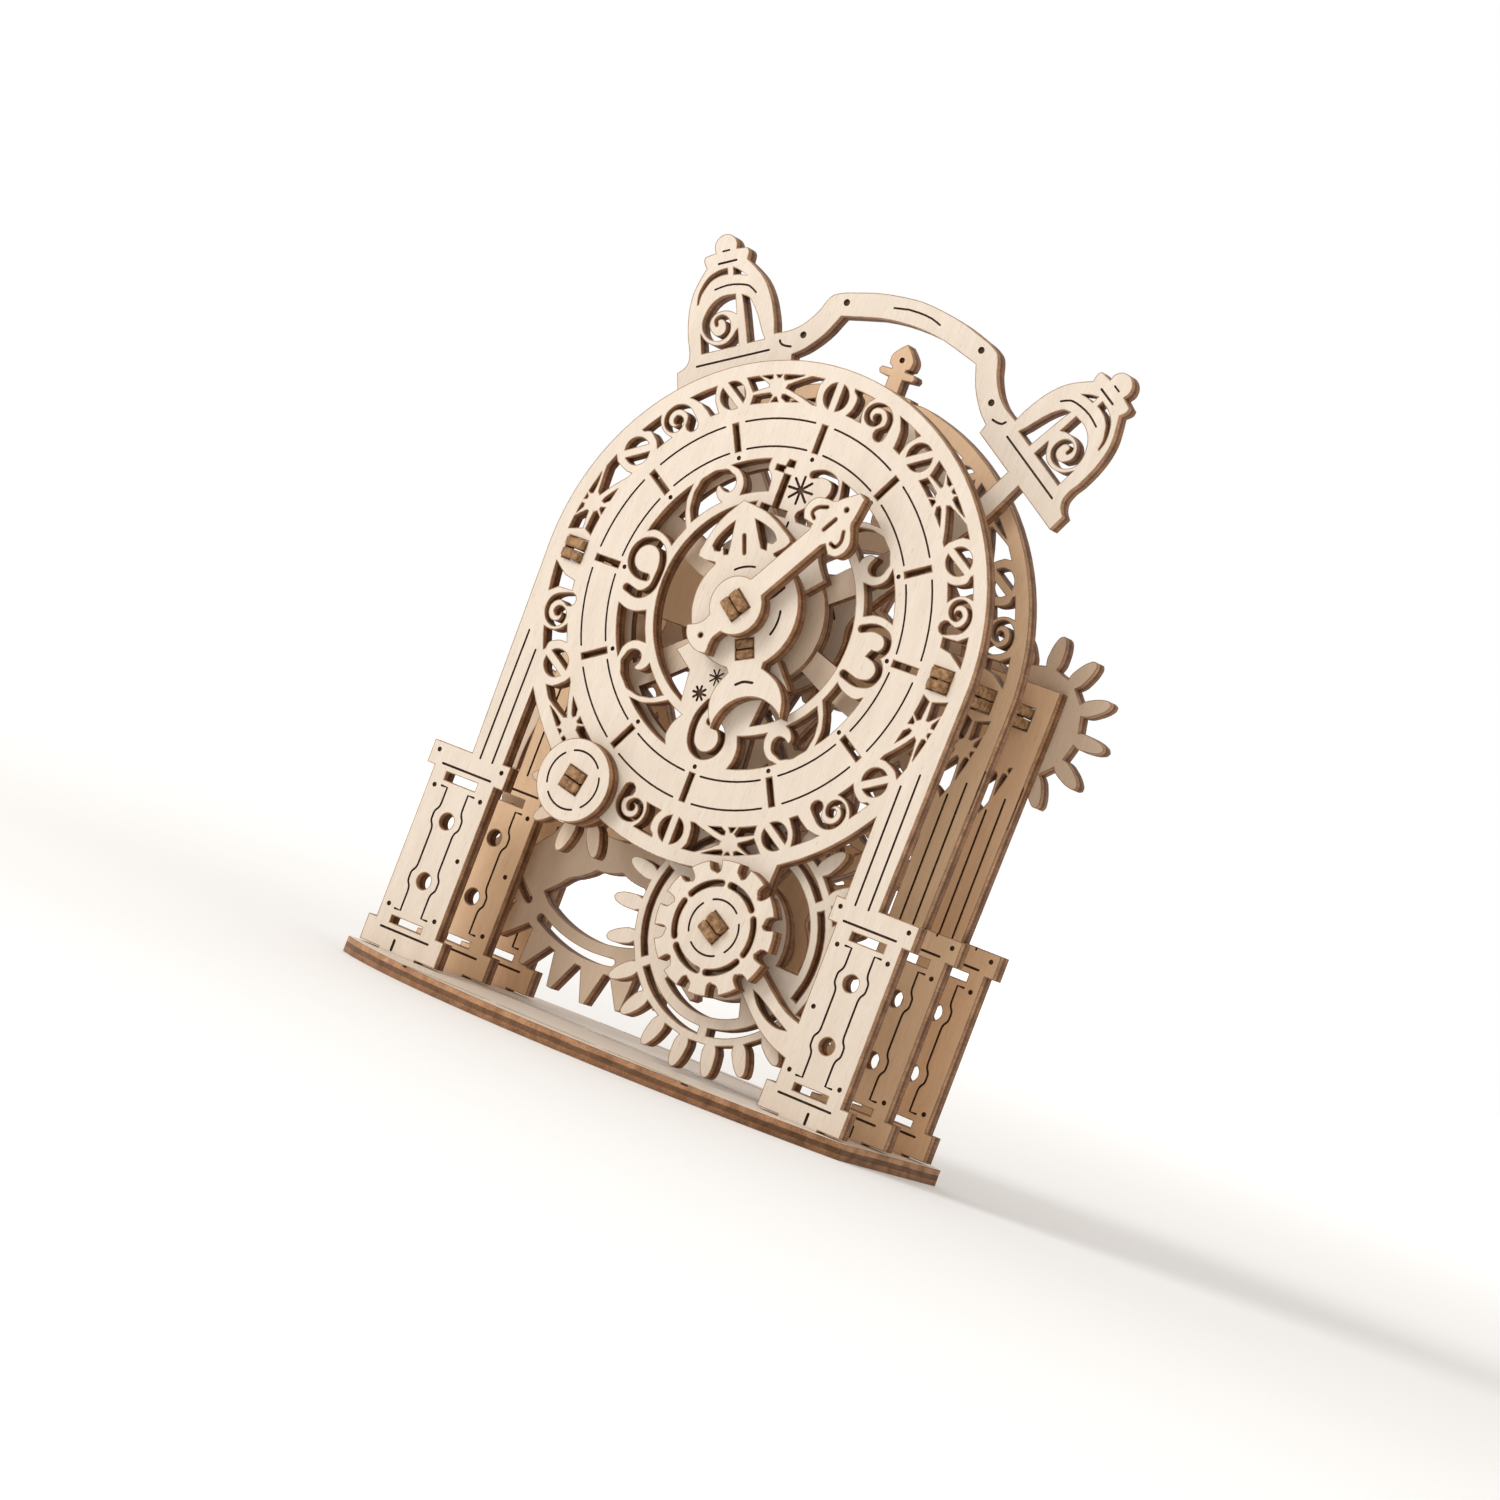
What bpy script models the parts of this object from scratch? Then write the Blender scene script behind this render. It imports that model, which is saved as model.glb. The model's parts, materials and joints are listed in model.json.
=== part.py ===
"""Plywood kit model of a twin-bell alarm clock: laser-cut sheets, gears, hands and split pins.

Row frame in metres: the origin is the centre of the base's underside, +Z is up and the dial
faces -Y. Outlines are drawn in the dial frame instead: millimetres right of and above the
dial's centre, with depth measured backwards from the front plate's front face. Angles on the
dial run clockwise from twelve, in degrees.
"""

from math import asin, atan2, cos, degrees, hypot, pi, radians, sin, sqrt

import bmesh
import bpy
from mathutils import Matrix

MM = 0.001
U = 1.3  # the drawing grid, mm
PLY = 2.6  # sheet thickness
GAP = 0.28  # play between neighbouring sheets
PITCH = PLY + GAP
SEAT_GAP = 0.3  # from the plates' shoulders down to the base
TAB_PLAY = 0.2
DIAL_Z = 73.0  # dial centre above the underside of the base
DEPTH_SHIFT = -15.15  # from the front plate's front face to the base's middle

# Front face of each layer, from the minute hand back to the crank.
Y_MINUTE_HAND = -2 * PITCH
Y_HOUR_HAND = -PITCH
Y_FRONT = 0.0
Y_L1 = PITCH
Y_L2 = 2 * PITCH
Y_L4 = 4 * PITCH
Y_MIDDLE = 5 * PITCH
Y_M1 = 6 * PITCH
Y_M2 = 7 * PITCH
Y_M3 = 8 * PITCH
Y_REAR = 27.7
Y_R1 = Y_REAR + PITCH

# Square pins are two strips with a slit between them, and run in round holes.
PIN = 3.5
SLIT = 0.3
PIN_HOLE = PIN + 0.3
BORE_R = PIN / sqrt(2) + 0.085
HOUR_PIN = 3.0
HOUR_PIN_R = 6.3
STOP_PIN = 2.4
STOP_PIN_Z = 26.6 * U
STOP_SLOT = 2.5  # half the slot's length: the rocker swings 1.65 degrees each way

# Gear train: module and axes follow from the centre distances.
DRIVE_MODULE = 1.848
CENTRE_MODULE = 38.81 / 19
CRANK_MODULE = 2 * 35.49 / 36
RING_OUTER = 31.2 * U
HOUR_ANGLE = -24.3
MINUTE_ANGLE = 33.0
ROCKER_TILT = 1.65
ROCKER_HUB = 7.8  # on the drawing grid

TIMBER = {
    "pale": (0.78, 0.62, 0.42),
    "warm": (0.70, 0.52, 0.33),
    "edge": (0.50, 0.33, 0.19),
}


# ---------------------------------------------------------------- plane geometry


def polar(radius, angle, centre=(0.0, 0.0)):
    """The point at a radius and a clockwise angle from twelve."""
    turn = radians(angle)
    return (centre[0] + radius * sin(turn), centre[1] + radius * cos(turn))


def arc(radius, start, end, steps, centre=(0.0, 0.0)):
    return [polar(radius, start + (end - start) * i / steps, centre) for i in range(steps + 1)]


def circle(radius, steps=32, centre=(0.0, 0.0)):
    return [polar(radius, 360 * i / steps, centre) for i in range(steps)]


def bore(centre=(0.0, 0.0)):
    """A round hole whose flats, not its corners, clear the pin."""
    return circle(BORE_R / cos(pi / 32), 32, centre)


def turned(points, angle, centre=(0.0, 0.0)):
    """Points turned clockwise about the origin, then moved to centre."""
    c, s = cos(radians(angle)), sin(radians(angle))
    return [(centre[0] + x * c + z * s, centre[1] - x * s + z * c) for x, z in points]


def grid(points):
    """Drawing-grid points as millimetres."""
    return [(x * U, z * U) for x, z in points]


def mirrored(points):
    """The left-hand copy of a run of points, in the order that closes a symmetric outline."""
    return [(-x, z) for x, z in reversed(points)]


def square(side, angle=0.0, centre=(0.0, 0.0)):
    half = side / 2
    corners = [(-half, -half), (-half, half), (half, half), (half, -half)]
    return turned(corners, angle, centre)


def rectangle(x0, x1, z0, z1):
    return [(x0, z0), (x0, z1), (x1, z1), (x1, z0)]


def sector(inner, outer, start, end, steps=8):
    """A ring-shaped window between two angles."""
    return arc(outer, start, end, steps) + arc(inner, end, start, steps)


def bezier(p0, p1, p2, p3, steps=6):
    """Points of a cubic curve, without its first one."""
    points = []
    for i in range(1, steps + 1):
        t = i / steps
        a, b, c, d = (1 - t) ** 3, 3 * t * (1 - t) ** 2, 3 * t * t * (1 - t), t**3
        points.append(tuple(a * p0[k] + b * p1[k] + c * p2[k] + d * p3[k] for k in (0, 1)))
    return points


def circles_meet(radius, centre, other_radius):
    """Clockwise angles, seen from the origin, where a circle at centre crosses one about the origin."""
    distance = hypot(*centre)
    middle = degrees(atan2(centre[0], centre[1])) % 360
    along = (other_radius**2 + distance**2 - radius**2) / (2 * distance)
    half = degrees(atan2(sqrt(other_radius**2 - along**2), along))
    return middle - half, middle + half


def boss_bump(centre, radius, ring_radius, steps=10):
    """The clockwise run round a boss that stands out of a ring's outer edge."""
    first, last = circles_meet(radius, centre, ring_radius)
    start = polar(ring_radius, first)
    end = polar(ring_radius, last)
    a0 = degrees(atan2(start[0] - centre[0], start[1] - centre[1]))
    a1 = degrees(atan2(end[0] - centre[0], end[1] - centre[1]))
    while a1 < a0:
        a1 += 360
    return first, last, arc(radius, a0, a1, steps, centre)


# ---------------------------------------------------------------- gear outlines


def petal_gear(teeth, module, tip, root, width, drop, taper, steps=4):
    """Round-nosed teeth, as on a laser-cut clock wheel. Angle 0 is a tooth's tip."""
    pitch_r = teeth * module / 2
    tip_r, root_r, waist_r = pitch_r + tip, pitch_r - root, pitch_r - drop
    half = width * pi * module
    flank = []
    for i in range(3):
        r = root_r + (waist_r - root_r) * i / 3
        flank.append((r, half * (1 - taper * ((waist_r - r) / (waist_r - root_r)) ** 2)))
    for i in range(steps):
        turn = pi / 2 * i / steps
        flank.append((waist_r + (tip_r - waist_r) * sin(turn), half * cos(turn)))
    points = []
    for tooth in range(teeth):
        middle = 360 * tooth / teeth
        points += [polar(r, middle - degrees(w / r)) for r, w in flank]
        points.append(polar(tip_r, middle))
        points += [polar(r, middle + degrees(w / r)) for r, w in reversed(flank)]
    return points


def pointed_gear(teeth, module, tip, root, tip_half, root_half):
    """Deep saw-like teeth with narrow tips."""
    tip_r, root_r = teeth * module / 2 + tip, teeth * module / 2 - root
    points = []
    for tooth in range(teeth):
        middle = 360 * tooth / teeth
        root_turn, tip_turn = degrees(root_half / root_r), degrees(tip_half / tip_r)
        points.append(polar(root_r, middle - root_turn))
        points.append(polar(tip_r, middle - tip_turn))
        points.append(polar(tip_r, middle + tip_turn))
        points.append(polar(root_r, middle + root_turn))
    return points


def drive_gear(teeth):
    return petal_gear(teeth, DRIVE_MODULE, 2.28, 2.75, 0.222, 1.4, 0.25)


def crank_set_gear(teeth):
    return petal_gear(teeth, CRANK_MODULE, 2.4, 2.85, 0.215, 1.4, 0.25)


# Axes of the train in the dial frame: the drive axle right of six, the knob axle left of six
# and the crank's pin at three.
DRIVE_AXIS = polar((22 + 32) / 2 * DRIVE_MODULE, 162.05)
KNOB_AXIS = polar(19 * CENTRE_MODULE, 208.14)
SIDE_PIN_X = 35.49

# Clockwise angle of one tooth tip of each wheel at rest, which sets the mesh.
TIP = {"drive": 5.0, "hour": 5.647, "knob": 10.12, "centre": 9.2, "pinion": 31.65, "crank": 2.3, "minute": 6.35}


# ---------------------------------------------------------------- Blender helpers


def clear_scene():
    for old in list(bpy.data.objects):
        bpy.data.objects.remove(old, do_unlink=True)


def collection(name):
    group = bpy.data.collections.new(name)
    bpy.context.scene.collection.children.link(group)
    return group


def timber(name, shade):
    material = bpy.data.materials.new(name)
    material.use_nodes = True
    shader = material.node_tree.nodes["Principled BSDF"]
    shader.inputs["Base Color"].default_value = (*TIMBER[shade], 1.0)
    shader.inputs["Roughness"].default_value = 0.72
    shader.inputs["Metallic"].default_value = 0.0
    return material


def world(x, y, z):
    """A point of the dial frame, in row-frame metres."""
    return (x * MM, (y + DEPTH_SHIFT) * MM, (z + DIAL_Z) * MM)


def sheet(name, outline, holes, front, axis=(0.0, 0.0), shade="pale", thickness=PLY):
    """A cut sheet facing -Y. Its points and its origin's axis are in the dial frame."""
    curve = bpy.data.curves.new(name, "CURVE")
    curve.dimensions = "2D"
    curve.fill_mode = "BOTH"
    curve.extrude = thickness / 2 * MM
    for loop in [outline, *holes]:
        spline = curve.splines.new("POLY")
        spline.points.add(len(loop) - 1)
        for point, (x, z) in zip(spline.points, loop):
            point.co = ((x - axis[0]) * MM, (z - axis[1]) * MM, 0.0, 1.0)
        spline.use_cyclic_u = True
    part = bpy.data.objects.new(name, curve)
    part.location = world(axis[0], front + thickness / 2, axis[1])
    part.rotation_euler = (pi / 2, 0.0, 0.0)
    curve.materials.append(timber(name, shade))
    PARTS.objects.link(part)
    return part


def strip(name, width, height, front, back, centre, angle, origin, shade="edge"):
    """One half of a split pin: a square strip along Y, turned clockwise about its own centre."""
    mesh = bpy.data.meshes.new(name)
    body = bmesh.new()
    bmesh.ops.create_cube(body, size=1.0)
    bmesh.ops.scale(body, vec=(width * MM, (back - front) * MM, height * MM), verts=body.verts)
    bmesh.ops.rotate(body, matrix=Matrix.Rotation(radians(angle), 3, "Y"), verts=body.verts)
    offset = ((centre[0] - origin[0]) * MM, 0.0, (centre[1] - origin[1]) * MM)
    bmesh.ops.translate(body, vec=offset, verts=body.verts)
    body.to_mesh(mesh)
    body.free()
    part = bpy.data.objects.new(name, mesh)
    part.location = world(origin[0], (front + back) / 2, origin[1])
    mesh.materials.append(timber(name, shade))
    PARTS.objects.link(part)
    return part


def split_pin(name, side, front, back, centre, slit_angle, origin=None):
    """Two strips with a slit between them. The slit lies along slit_angle, clockwise from three."""
    half = (side - SLIT) / 2
    for end, sign in (("upper", 1), ("lower", -1)):
        shift = turned([(0.0, sign * (half + SLIT) / 2)], slit_angle, centre)[0]
        strip(f"{name}_{end}", side, half, front, back, shift, slit_angle, origin or centre)


# ---------------------------------------------------------------- standing plates


def column(side_top):
    """The right column's outline from its outer top round the foot and tab to its inner top."""
    points = [(30.7, -27.7), (36.5, -27.7), (36.5, -30.7), (35.3, -30.7), (35.3, -50.6), (36.5, -50.6)]
    foot = (-DIAL_Z + PLY + SEAT_GAP) / U
    tab = (-DIAL_Z + 0.05) / U
    points += [(36.5, foot), (33.4, foot), (33.4, tab), (27.7, tab), (27.7, foot), (24.6, foot)]
    points += [(24.6, -50.6), (25.9, -50.6)]
    return [side_top, *points]


def column_inner():
    """The column's inner edge above the drive bracket, up to the ring."""
    return [(25.9, -30.7), (24.6, -30.7), (24.6, -27.7), (25.8, -27.7), (25.8, -17.55)]


def slot_windows():
    """Long slots in each capital and foot, and two round holes down each shaft."""
    holes = []
    for sign in (1, -1):
        for low, high in ((-32.05, -31.0), (-50.7, -49.8)):
            holes.append(grid(rectangle(sign * 28.3, sign * 33.2, low, high)))
        for z in (-36.7, -44.5):
            holes.append(circle(1.06 * U, 16, (sign * 30.6 * U, z * U)))
    return holes


def drive_bracket():
    """Edges of the lens-slotted bracket that carries the drive axle: below it, and the void above."""
    hub = (DRIVE_AXIS[0] / U, DRIVE_AXIS[1] / U)
    radius = 5.4
    below = [(25.9, -47.6)]
    below += bezier((25.9, -47.6), (22.5, -46.9), (20.0, -45.2), polar(radius, 140, hub), 5)
    below += arc(radius, 150, 285, 12, hub)
    below += bezier(polar(radius, 285, hub), (6.9, -32.9), (8.3, -31.5), polar(31.2, 163.3), 3)
    ring_end = asin(25.8 / 31.2)
    neck = polar(31.2, 150.0)
    above = arc(31.2, 180 - degrees(ring_end), 150.0, 5)
    above += bezier(neck, (15.4, -29.0), (15.6, -30.6), polar(radius, 45, hub), 3)
    above += arc(radius, 55, 105, 4, hub)
    above += bezier(above[-1], (20.3, -40.3), (23.0, -42.8), (25.9, -43.2), 5)
    above += column_inner()[:-1]
    lens = [(18.6, -41.6)] + bezier((18.6, -41.6), (20.4, -42.2), (22.4, -43.6), (24.8, -44.6), 5)
    lens += bezier((24.8, -44.6), (22.6, -45.2), (20.0, -43.8), (18.6, -41.6), 5)[:-1]
    return grid(below), grid(list(reversed(above))), grid(lens)


def plate_outline(top):
    """Ring, columns, knob boss and drive bracket. top is the run over twelve, from the left."""
    below, above, lens = drive_bracket()
    first, last, bump = boss_bump(KNOB_AXIS, 6.6, RING_OUTER)
    ring_end = 180 - degrees(asin(25.8 / 31.2))
    outline = list(top)
    outline += grid(column((31.2, 0.0)))
    outline += below
    outline += arc(RING_OUTER, 163.3, first, 10)[1:-1]
    outline += bump
    outline += arc(RING_OUTER, last, 360 - ring_end, 5)[1:]
    left = grid(column((31.2, 0.0)) + column_inner()[:-1])
    outline += mirrored(left)
    return outline, [above, lens]


def dial_windows():
    """The scroll openings between the numeral pads, four alike."""
    holes = []
    for quarter in range(4):
        for start, end in ((23, 45), (52, 67)):
            holes.append(sector(15.0 * U, 19.0 * U, start + 90 * quarter, end + 90 * quarter, 5))
    return holes


def dial_centre():
    """The round opening at the dial's centre with the twelve and six arms reaching in."""
    right = [polar(6.8, 52), (7.6, 6.4), (5.6, 9.0), polar(13.8, 22)]
    right += arc(13.8, 30, 150, 16)
    right += [polar(13.8, 158), (5.6, -9.0), (8.4, -7.2), polar(6.8, 128)]
    right += arc(6.8, 136, 180, 5)
    left = mirrored(right[:-1])
    over = arc(6.8, -44, 44, 10)
    return grid(right + left + over)


def front_plate():
    top = arc(RING_OUTER, -90, 90, 48)[1:-1]
    outline, voids = plate_outline(top)
    holes = voids + slot_windows() + dial_windows() + [dial_centre()]
    holes += [bore(DRIVE_AXIS), bore(KNOB_AXIS)]
    holes += [square(PIN_HOLE, 0, (sign * SIDE_PIN_X, 0.0)) for sign in (1, -1)]
    sheet("front_plate", outline, holes, Y_FRONT)


def finial():
    """The small finial over twelve on the middle plate, right half."""
    return [(0.9, 36.6), (1.6, 35.6), (1.5, 34.4), (2.8, 34.2), (2.8, 33.0), (2.2, 32.6), (3.4, 30.7)]


def middle_plate():
    start = degrees(asin(3.4 / 31.2))
    right = [(0.0, 37.4), *finial(), *arc(31.2, start, 90, 24)[1:-1]]
    top = grid(mirrored(right[1:]) + right)
    outline, voids = plate_outline(top)
    arm = degrees(asin(4.0 / 24.6))
    holes = voids + slot_windows()
    for sign in (1, -1):
        middle = 0 if sign > 0 else 180
        edge = arc(24.6, middle - 90 + arm, middle + 90 - arm, 24)
        hub = arc(6.4, middle + 90 - 39, middle - 90 + 39, 8)
        holes.append(grid(edge + hub))
    holes += [bore(), bore(DRIVE_AXIS), bore(KNOB_AXIS)]
    holes += [square(PIN_HOLE, 0, (s * SIDE_PIN_X, 0.0)) for s in (1, -1)]
    holes.append(square(STOP_PIN + 0.3, 0, (0.0, STOP_PIN_Z)))
    sheet("middle_plate", outline, holes, Y_MIDDLE, shade="warm")


def rear_plate():
    """The open rear frame: two columns, a cross arm and the lower half of the ring."""
    arm = 4.0
    side = [(5.0, 4.3), (31.2, 4.3)]
    top = [polar(6.4, a) for a in (-45, -22, 0, 22, 45)]
    first, last, bump = boss_bump(KNOB_AXIS, 6.6, RING_OUTER)
    ring_end = 180 - degrees(asin(25.8 / 31.2))
    outline = grid(mirrored(side) + top + side)
    outline += grid(column((31.2, 0.0)) + column_inner())
    outline += arc(RING_OUTER, ring_end, first, 12)[1:-1]
    outline += bump
    outline += arc(RING_OUTER, last, 360 - ring_end, 5)[1:-1]
    outline += mirrored(grid(column((31.2, 0.0)) + column_inner()))
    opening = degrees(asin(arm / 24.6))
    edge = arc(24.6, 90 + opening, 270 - opening, 24)
    hub = arc(6.4, 231, 129, 8)
    holes = [grid(edge + hub), *slot_windows(), bore(), bore(KNOB_AXIS)]
    holes += [square(PIN_HOLE, 0, (s * SIDE_PIN_X, 0.0)) for s in (1, -1)]
    sheet("rear_plate", outline, holes, Y_REAR, shade="warm")


def base_plate():
    """A bow-fronted board, with two rows of slots for the plates' tabs."""
    half_width, side_front, side_back, bow = 49.0, -0.8, 31.1, 19.2
    radius = (half_width**2 + bow**2) / (2 * bow)
    reach = degrees(asin(half_width / radius))
    front = arc(radius, 180 + reach, 180 - reach, 28, (0.0, side_front - bow + radius))
    back = arc(radius, reach, -reach, 28, (0.0, side_back + bow - radius))
    slots = []
    for plate in (Y_FRONT, Y_MIDDLE, Y_REAR):
        for sign in (1, -1):
            inner, outer = 27.7 * U - TAB_PLAY, 33.4 * U + TAB_PLAY
            low, high = plate - TAB_PLAY, plate + PLY + TAB_PLAY
            slots.append(rectangle(sign * inner, sign * outer, low, high))
    curve_points = front + back
    part = sheet("base_plate", curve_points, slots, 0.0, shade="warm")
    part.location = (0.0, DEPTH_SHIFT * MM, PLY / 2 * MM)
    part.rotation_euler = (0.0, 0.0, 0.0)


# ---------------------------------------------------------------- bell rocker


def bell_point(across, along):
    """A point of the right bell: across its axis and along it from the flange, on the grid."""
    foot, lean = (21.18, 26.2), radians(29.5)
    x = foot[0] + along * sin(lean) + across * cos(lean)
    z = foot[1] + along * cos(lean) - across * sin(lean)
    return (x, z)


def bell_profile():
    """The bell's edge from the handle's top edge over the knob and down to the flange's right end."""
    flare = [(7.9, 2.2), (6.9, 2.6), (6.25, 3.3), (6.0, 4.4)]
    body = [(6.1, 6.0), (6.0, 8.1), (5.65, 10.1), (4.9, 12.1), (3.8, 13.7), (2.9, 14.8)]
    cap = [(3.1, 15.3), (3.2, 15.8), (3.0, 16.3), (1.5, 16.5)]
    ball = [(1.6 * sin(radians(a)), 17.05 + 1.6 * cos(radians(a))) for a in (85, 60, 30)]
    left = [(-across, along) for across, along in flare[3:] + body + cap + ball]
    right = [(across, along) for across, along in reversed(flare + body + cap + ball)]
    return [bell_point(*p) for p in left + [(0.0, 18.65)] + right]


def bell_rocker():
    """Both bells, the handle, two stems and the hub, cut as one sheet that rocks on the dial axis."""
    handle = [(3.2, 42.4), (6.5, 41.85), (9.3, 41.05), (11.4, 40.35), (12.4, 39.7), (12.85, 38.9)]
    handle += [(13.3, 37.6), (14.0, 36.3), (14.9, 35.1), (15.9, 34.2)]
    right = handle + bell_profile() + [bell_point(8.0, 0.0), bell_point(0.85, 0.0)]
    stem_out, stem_in = 43.3, 37.2
    right += [polar(27.6, stem_out), polar(9.4, 60)]
    right += arc(ROCKER_HUB, 72, 180, 10)
    outline = [(0.0, 42.65), *right, *mirrored(right[:-1])]
    over = [(0.0, 39.45), (5.0, 39.0), (8.0, 38.25), (10.1, 37.7), (10.4, 37.0), (11.15, 35.3)]
    over += [(12.2, 33.7), (13.5, 32.2), (14.6, 31.3), bell_point(-8.0, 0.0), bell_point(-1.5, 0.0)]
    over += [polar(28.9, stem_in + 0.5), polar(27.6, stem_in - 3), polar(27.6, 14), polar(28.9, 10)]
    upper = over + [(-x, z) for x, z in reversed(over[1:])]
    over = [polar(24.3, stem_in - 3), polar(22.5, stem_in), polar(10.0, 27), polar(8.1, 14)]
    window = [*arc(24.3, -stem_in + 3, stem_in - 3, 10)[1:-1], *over, *mirrored(over)]
    reach, height = degrees(asin(STOP_SLOT / STOP_PIN_Z)), 1.45 / U
    middle = STOP_PIN_Z / U
    slot = sector(middle - height, middle + height, -reach, reach, 4)
    holes = [grid(upper), grid(window), grid(slot)]
    holes = [turned(hole, ROCKER_TILT) for hole in holes] + [bore()]
    sheet("bell_and_handle_plate", turned(grid(outline), ROCKER_TILT), holes, Y_L4)


# ---------------------------------------------------------------- hands


def minute_hand():
    bar = 1.3
    head = [(bar, 12.6), (1.6, 13.4), (2.9, 12.9), (3.8, 13.6), (4.1, 14.8), (3.8, 15.8), (2.9, 16.6)]
    head += [(1.8, 17.4), (1.5, 18.2), (0.5, 20.4)]
    tail = [(1.3, -4.5), (2.3, -6.4), (1.4, -7.1), (0.0, -7.4)]
    hub = arc(3.6, 22, 158, 12)
    right = [*reversed(head), (bar, 3.5), *hub, *tail]
    outline = right + mirrored(right[:-1])
    sheet("minute_hand", turned(grid(outline), MINUTE_ANGLE), [square(PIN_HOLE, 35)], Y_MINUTE_HAND)


def hour_hand():
    """A spade on a disc, with a crescent tail that covers the hour pin's side."""
    disc = 7.3
    right = [(3.4, 11.3), (4.6, 10.0), (6.0, 8.2), (6.3, 7.4), (5.6, 6.9), (4.0, 6.3)]
    right += arc(disc, 34, 160, 14)
    right += [(2.3, -7.5), (3.6, -8.6), (4.6, -10.0), (5.0, -12.1), (4.7, -13.7)]
    bite = arc(5.15, 68, 0, 5, (0.0, -15.9))
    outline = [(0.0, 13.5), *right, *bite, *mirrored(bite[:-1]), *mirrored(right)]
    holes = []
    for sign in (1, -1):
        eye = [(0.8, 10.9), (2.4, 9.9), (4.0, 8.9), (4.4, 8.1), (4.0, 7.5), (2.6, 7.9), (2.2, 6.9), (1.3, 7.0)]
        holes.append(grid([(sign * x, z) for x, z in eye]))
    holes.append(square(HOUR_PIN + 0.3, 0, (0.0, -HOUR_PIN_R)))
    holes = [turned(hole, HOUR_ANGLE) for hole in holes] + [bore()]
    sheet("hour_hand", turned(grid(outline), HOUR_ANGLE), holes, Y_HOUR_HAND)


# ---------------------------------------------------------------- wheels


def wheel(name, outline, tip, axis, front, holes, shade="warm"):
    placed = turned(outline, tip, axis)
    loops = [turned(hole, 0, axis) for hole in holes]
    sheet(name, placed, loops, front, axis, shade)


def spokes(inner, outer, count, half_width, phase=0.0):
    """Windows between straight spokes of even width."""
    holes = []
    for i in range(count):
        start, end = phase + 360 * i / count, phase + 360 * (i + 1) / count
        o, n = degrees(asin(half_width / outer)), degrees(asin(half_width / inner))
        holes.append(arc(outer, start + o, end - o, 8) + arc(inner, end - n, start + n, 5))
    return holes


def eye_window(inner, outer, spread, angle):
    """A pointed oval lying along a radius."""
    middle = (inner + outer) / 2
    side = [(spread * 0.75, inner + (middle - inner) * 0.5), (spread, middle)]
    side.append((spread * 0.75, outer - (outer - middle) * 0.5))
    return turned([(0.0, inner), *[(-x, z) for x, z in side], (0.0, outer), *reversed(side)], angle)


def arc_slots(radius, half, count, reach, phase=0.0):
    return [sector(radius - half, radius + half, phase + 360 * i / count - reach, phase + 360 * i / count + reach, 5)
            for i in range(count)]


def hour_train():
    holes = spokes(8.6 * U, 18.2 * U, 6, 1.9, -9.0)
    holes.append(square(HOUR_PIN + 0.3, HOUR_ANGLE, polar(HOUR_PIN_R, HOUR_ANGLE + 180)))
    holes.append(bore())
    wheel("hour_wheel", drive_gear(32), TIP["hour"], (0.0, 0.0), Y_L1, holes)
    hour_hand()
    centre = polar(HOUR_PIN_R, HOUR_ANGLE + 180)
    split_pin("hour_pin", HOUR_PIN, -3.0, 5.6, centre, HOUR_ANGLE, (0.0, 0.0))


def minute_train():
    minute_hand()
    split_pin("minute_axle", PIN, -6.73, 34.2, (0.0, 0.0), 35)
    disc = circle(4.9, 24)
    hole = [square(PIN_HOLE, 35)]
    sheet("minute_front_collar", disc, hole, Y_L2, shade="edge")
    sheet("minute_middle_collar", disc, hole, Y_M1, shade="edge")
    sheet("minute_rear_collar", disc, hole, Y_M3, shade="edge")
    pinion = petal_gear(8, CENTRE_MODULE, 2.0, 3.0, 0.17, 0.8, 0.25)
    wheel("minute_pinion", pinion, TIP["pinion"], (0.0, 0.0), Y_M2, hole)
    holes = hole + spokes(9.0, 17.0, 6, 1.5, 10.0)
    wheel("minute_wheel", crank_set_gear(24), TIP["minute"], (0.0, 0.0), Y_R1, holes)


def drive_train():
    notched = []
    for i in range(12):
        middle = 25.2 + 30 * i
        notched += arc(10.6, middle - 11.2, middle + 11.2, 4)
        bottom = [(9.6, 11.0), (8.8, 12.2), (8.5, 15.0), (8.8, 17.8), (9.6, 19.0)]
        notched += [polar(r, middle + turn) for r, turn in bottom]
    hole = square(PIN_HOLE, 28)
    wheel("ratchet_wheel", notched, 0.0, DRIVE_AXIS, Y_HOUR_HAND, [hole], "pale")
    holes = [hole] + arc_slots(12.05 * U, 0.6, 6, 27.0, 25.5)
    wheel("drive_wheel", drive_gear(22), TIP["drive"], DRIVE_AXIS, Y_L1, holes)
    collar = turned(circle(4.9, 24), 0, DRIVE_AXIS)
    sheet("drive_collar", collar, [square(PIN_HOLE, 28, DRIVE_AXIS)], Y_L4, DRIVE_AXIS, "edge")
    split_pin("drive_axle", PIN, -4.0, 18.2, DRIVE_AXIS, 28)


def knob_train():
    hole = square(PIN_HOLE, 12)
    wheel("knob_disc", circle(6.7, 32), 0.0, KNOB_AXIS, Y_HOUR_HAND, [hole], "pale")
    wheel("knob_pinion", drive_gear(10), TIP["knob"], KNOB_AXIS, Y_L1, [hole])
    holes = [hole] + [eye_window(8.0, 21.5, 4.4, 30 + 60 * i) for i in range(6)]
    holes += arc_slots(24.7, 0.9, 6, 20)
    teeth = pointed_gear(30, CENTRE_MODULE, 2.52, 2.9, 0.45, 2.3)
    wheel("centre_wheel", teeth, TIP["centre"], KNOB_AXIS, Y_M2, holes)
    split_pin("knob_axle", PIN, -3.4, 31.4, KNOB_AXIS, 12)


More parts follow.
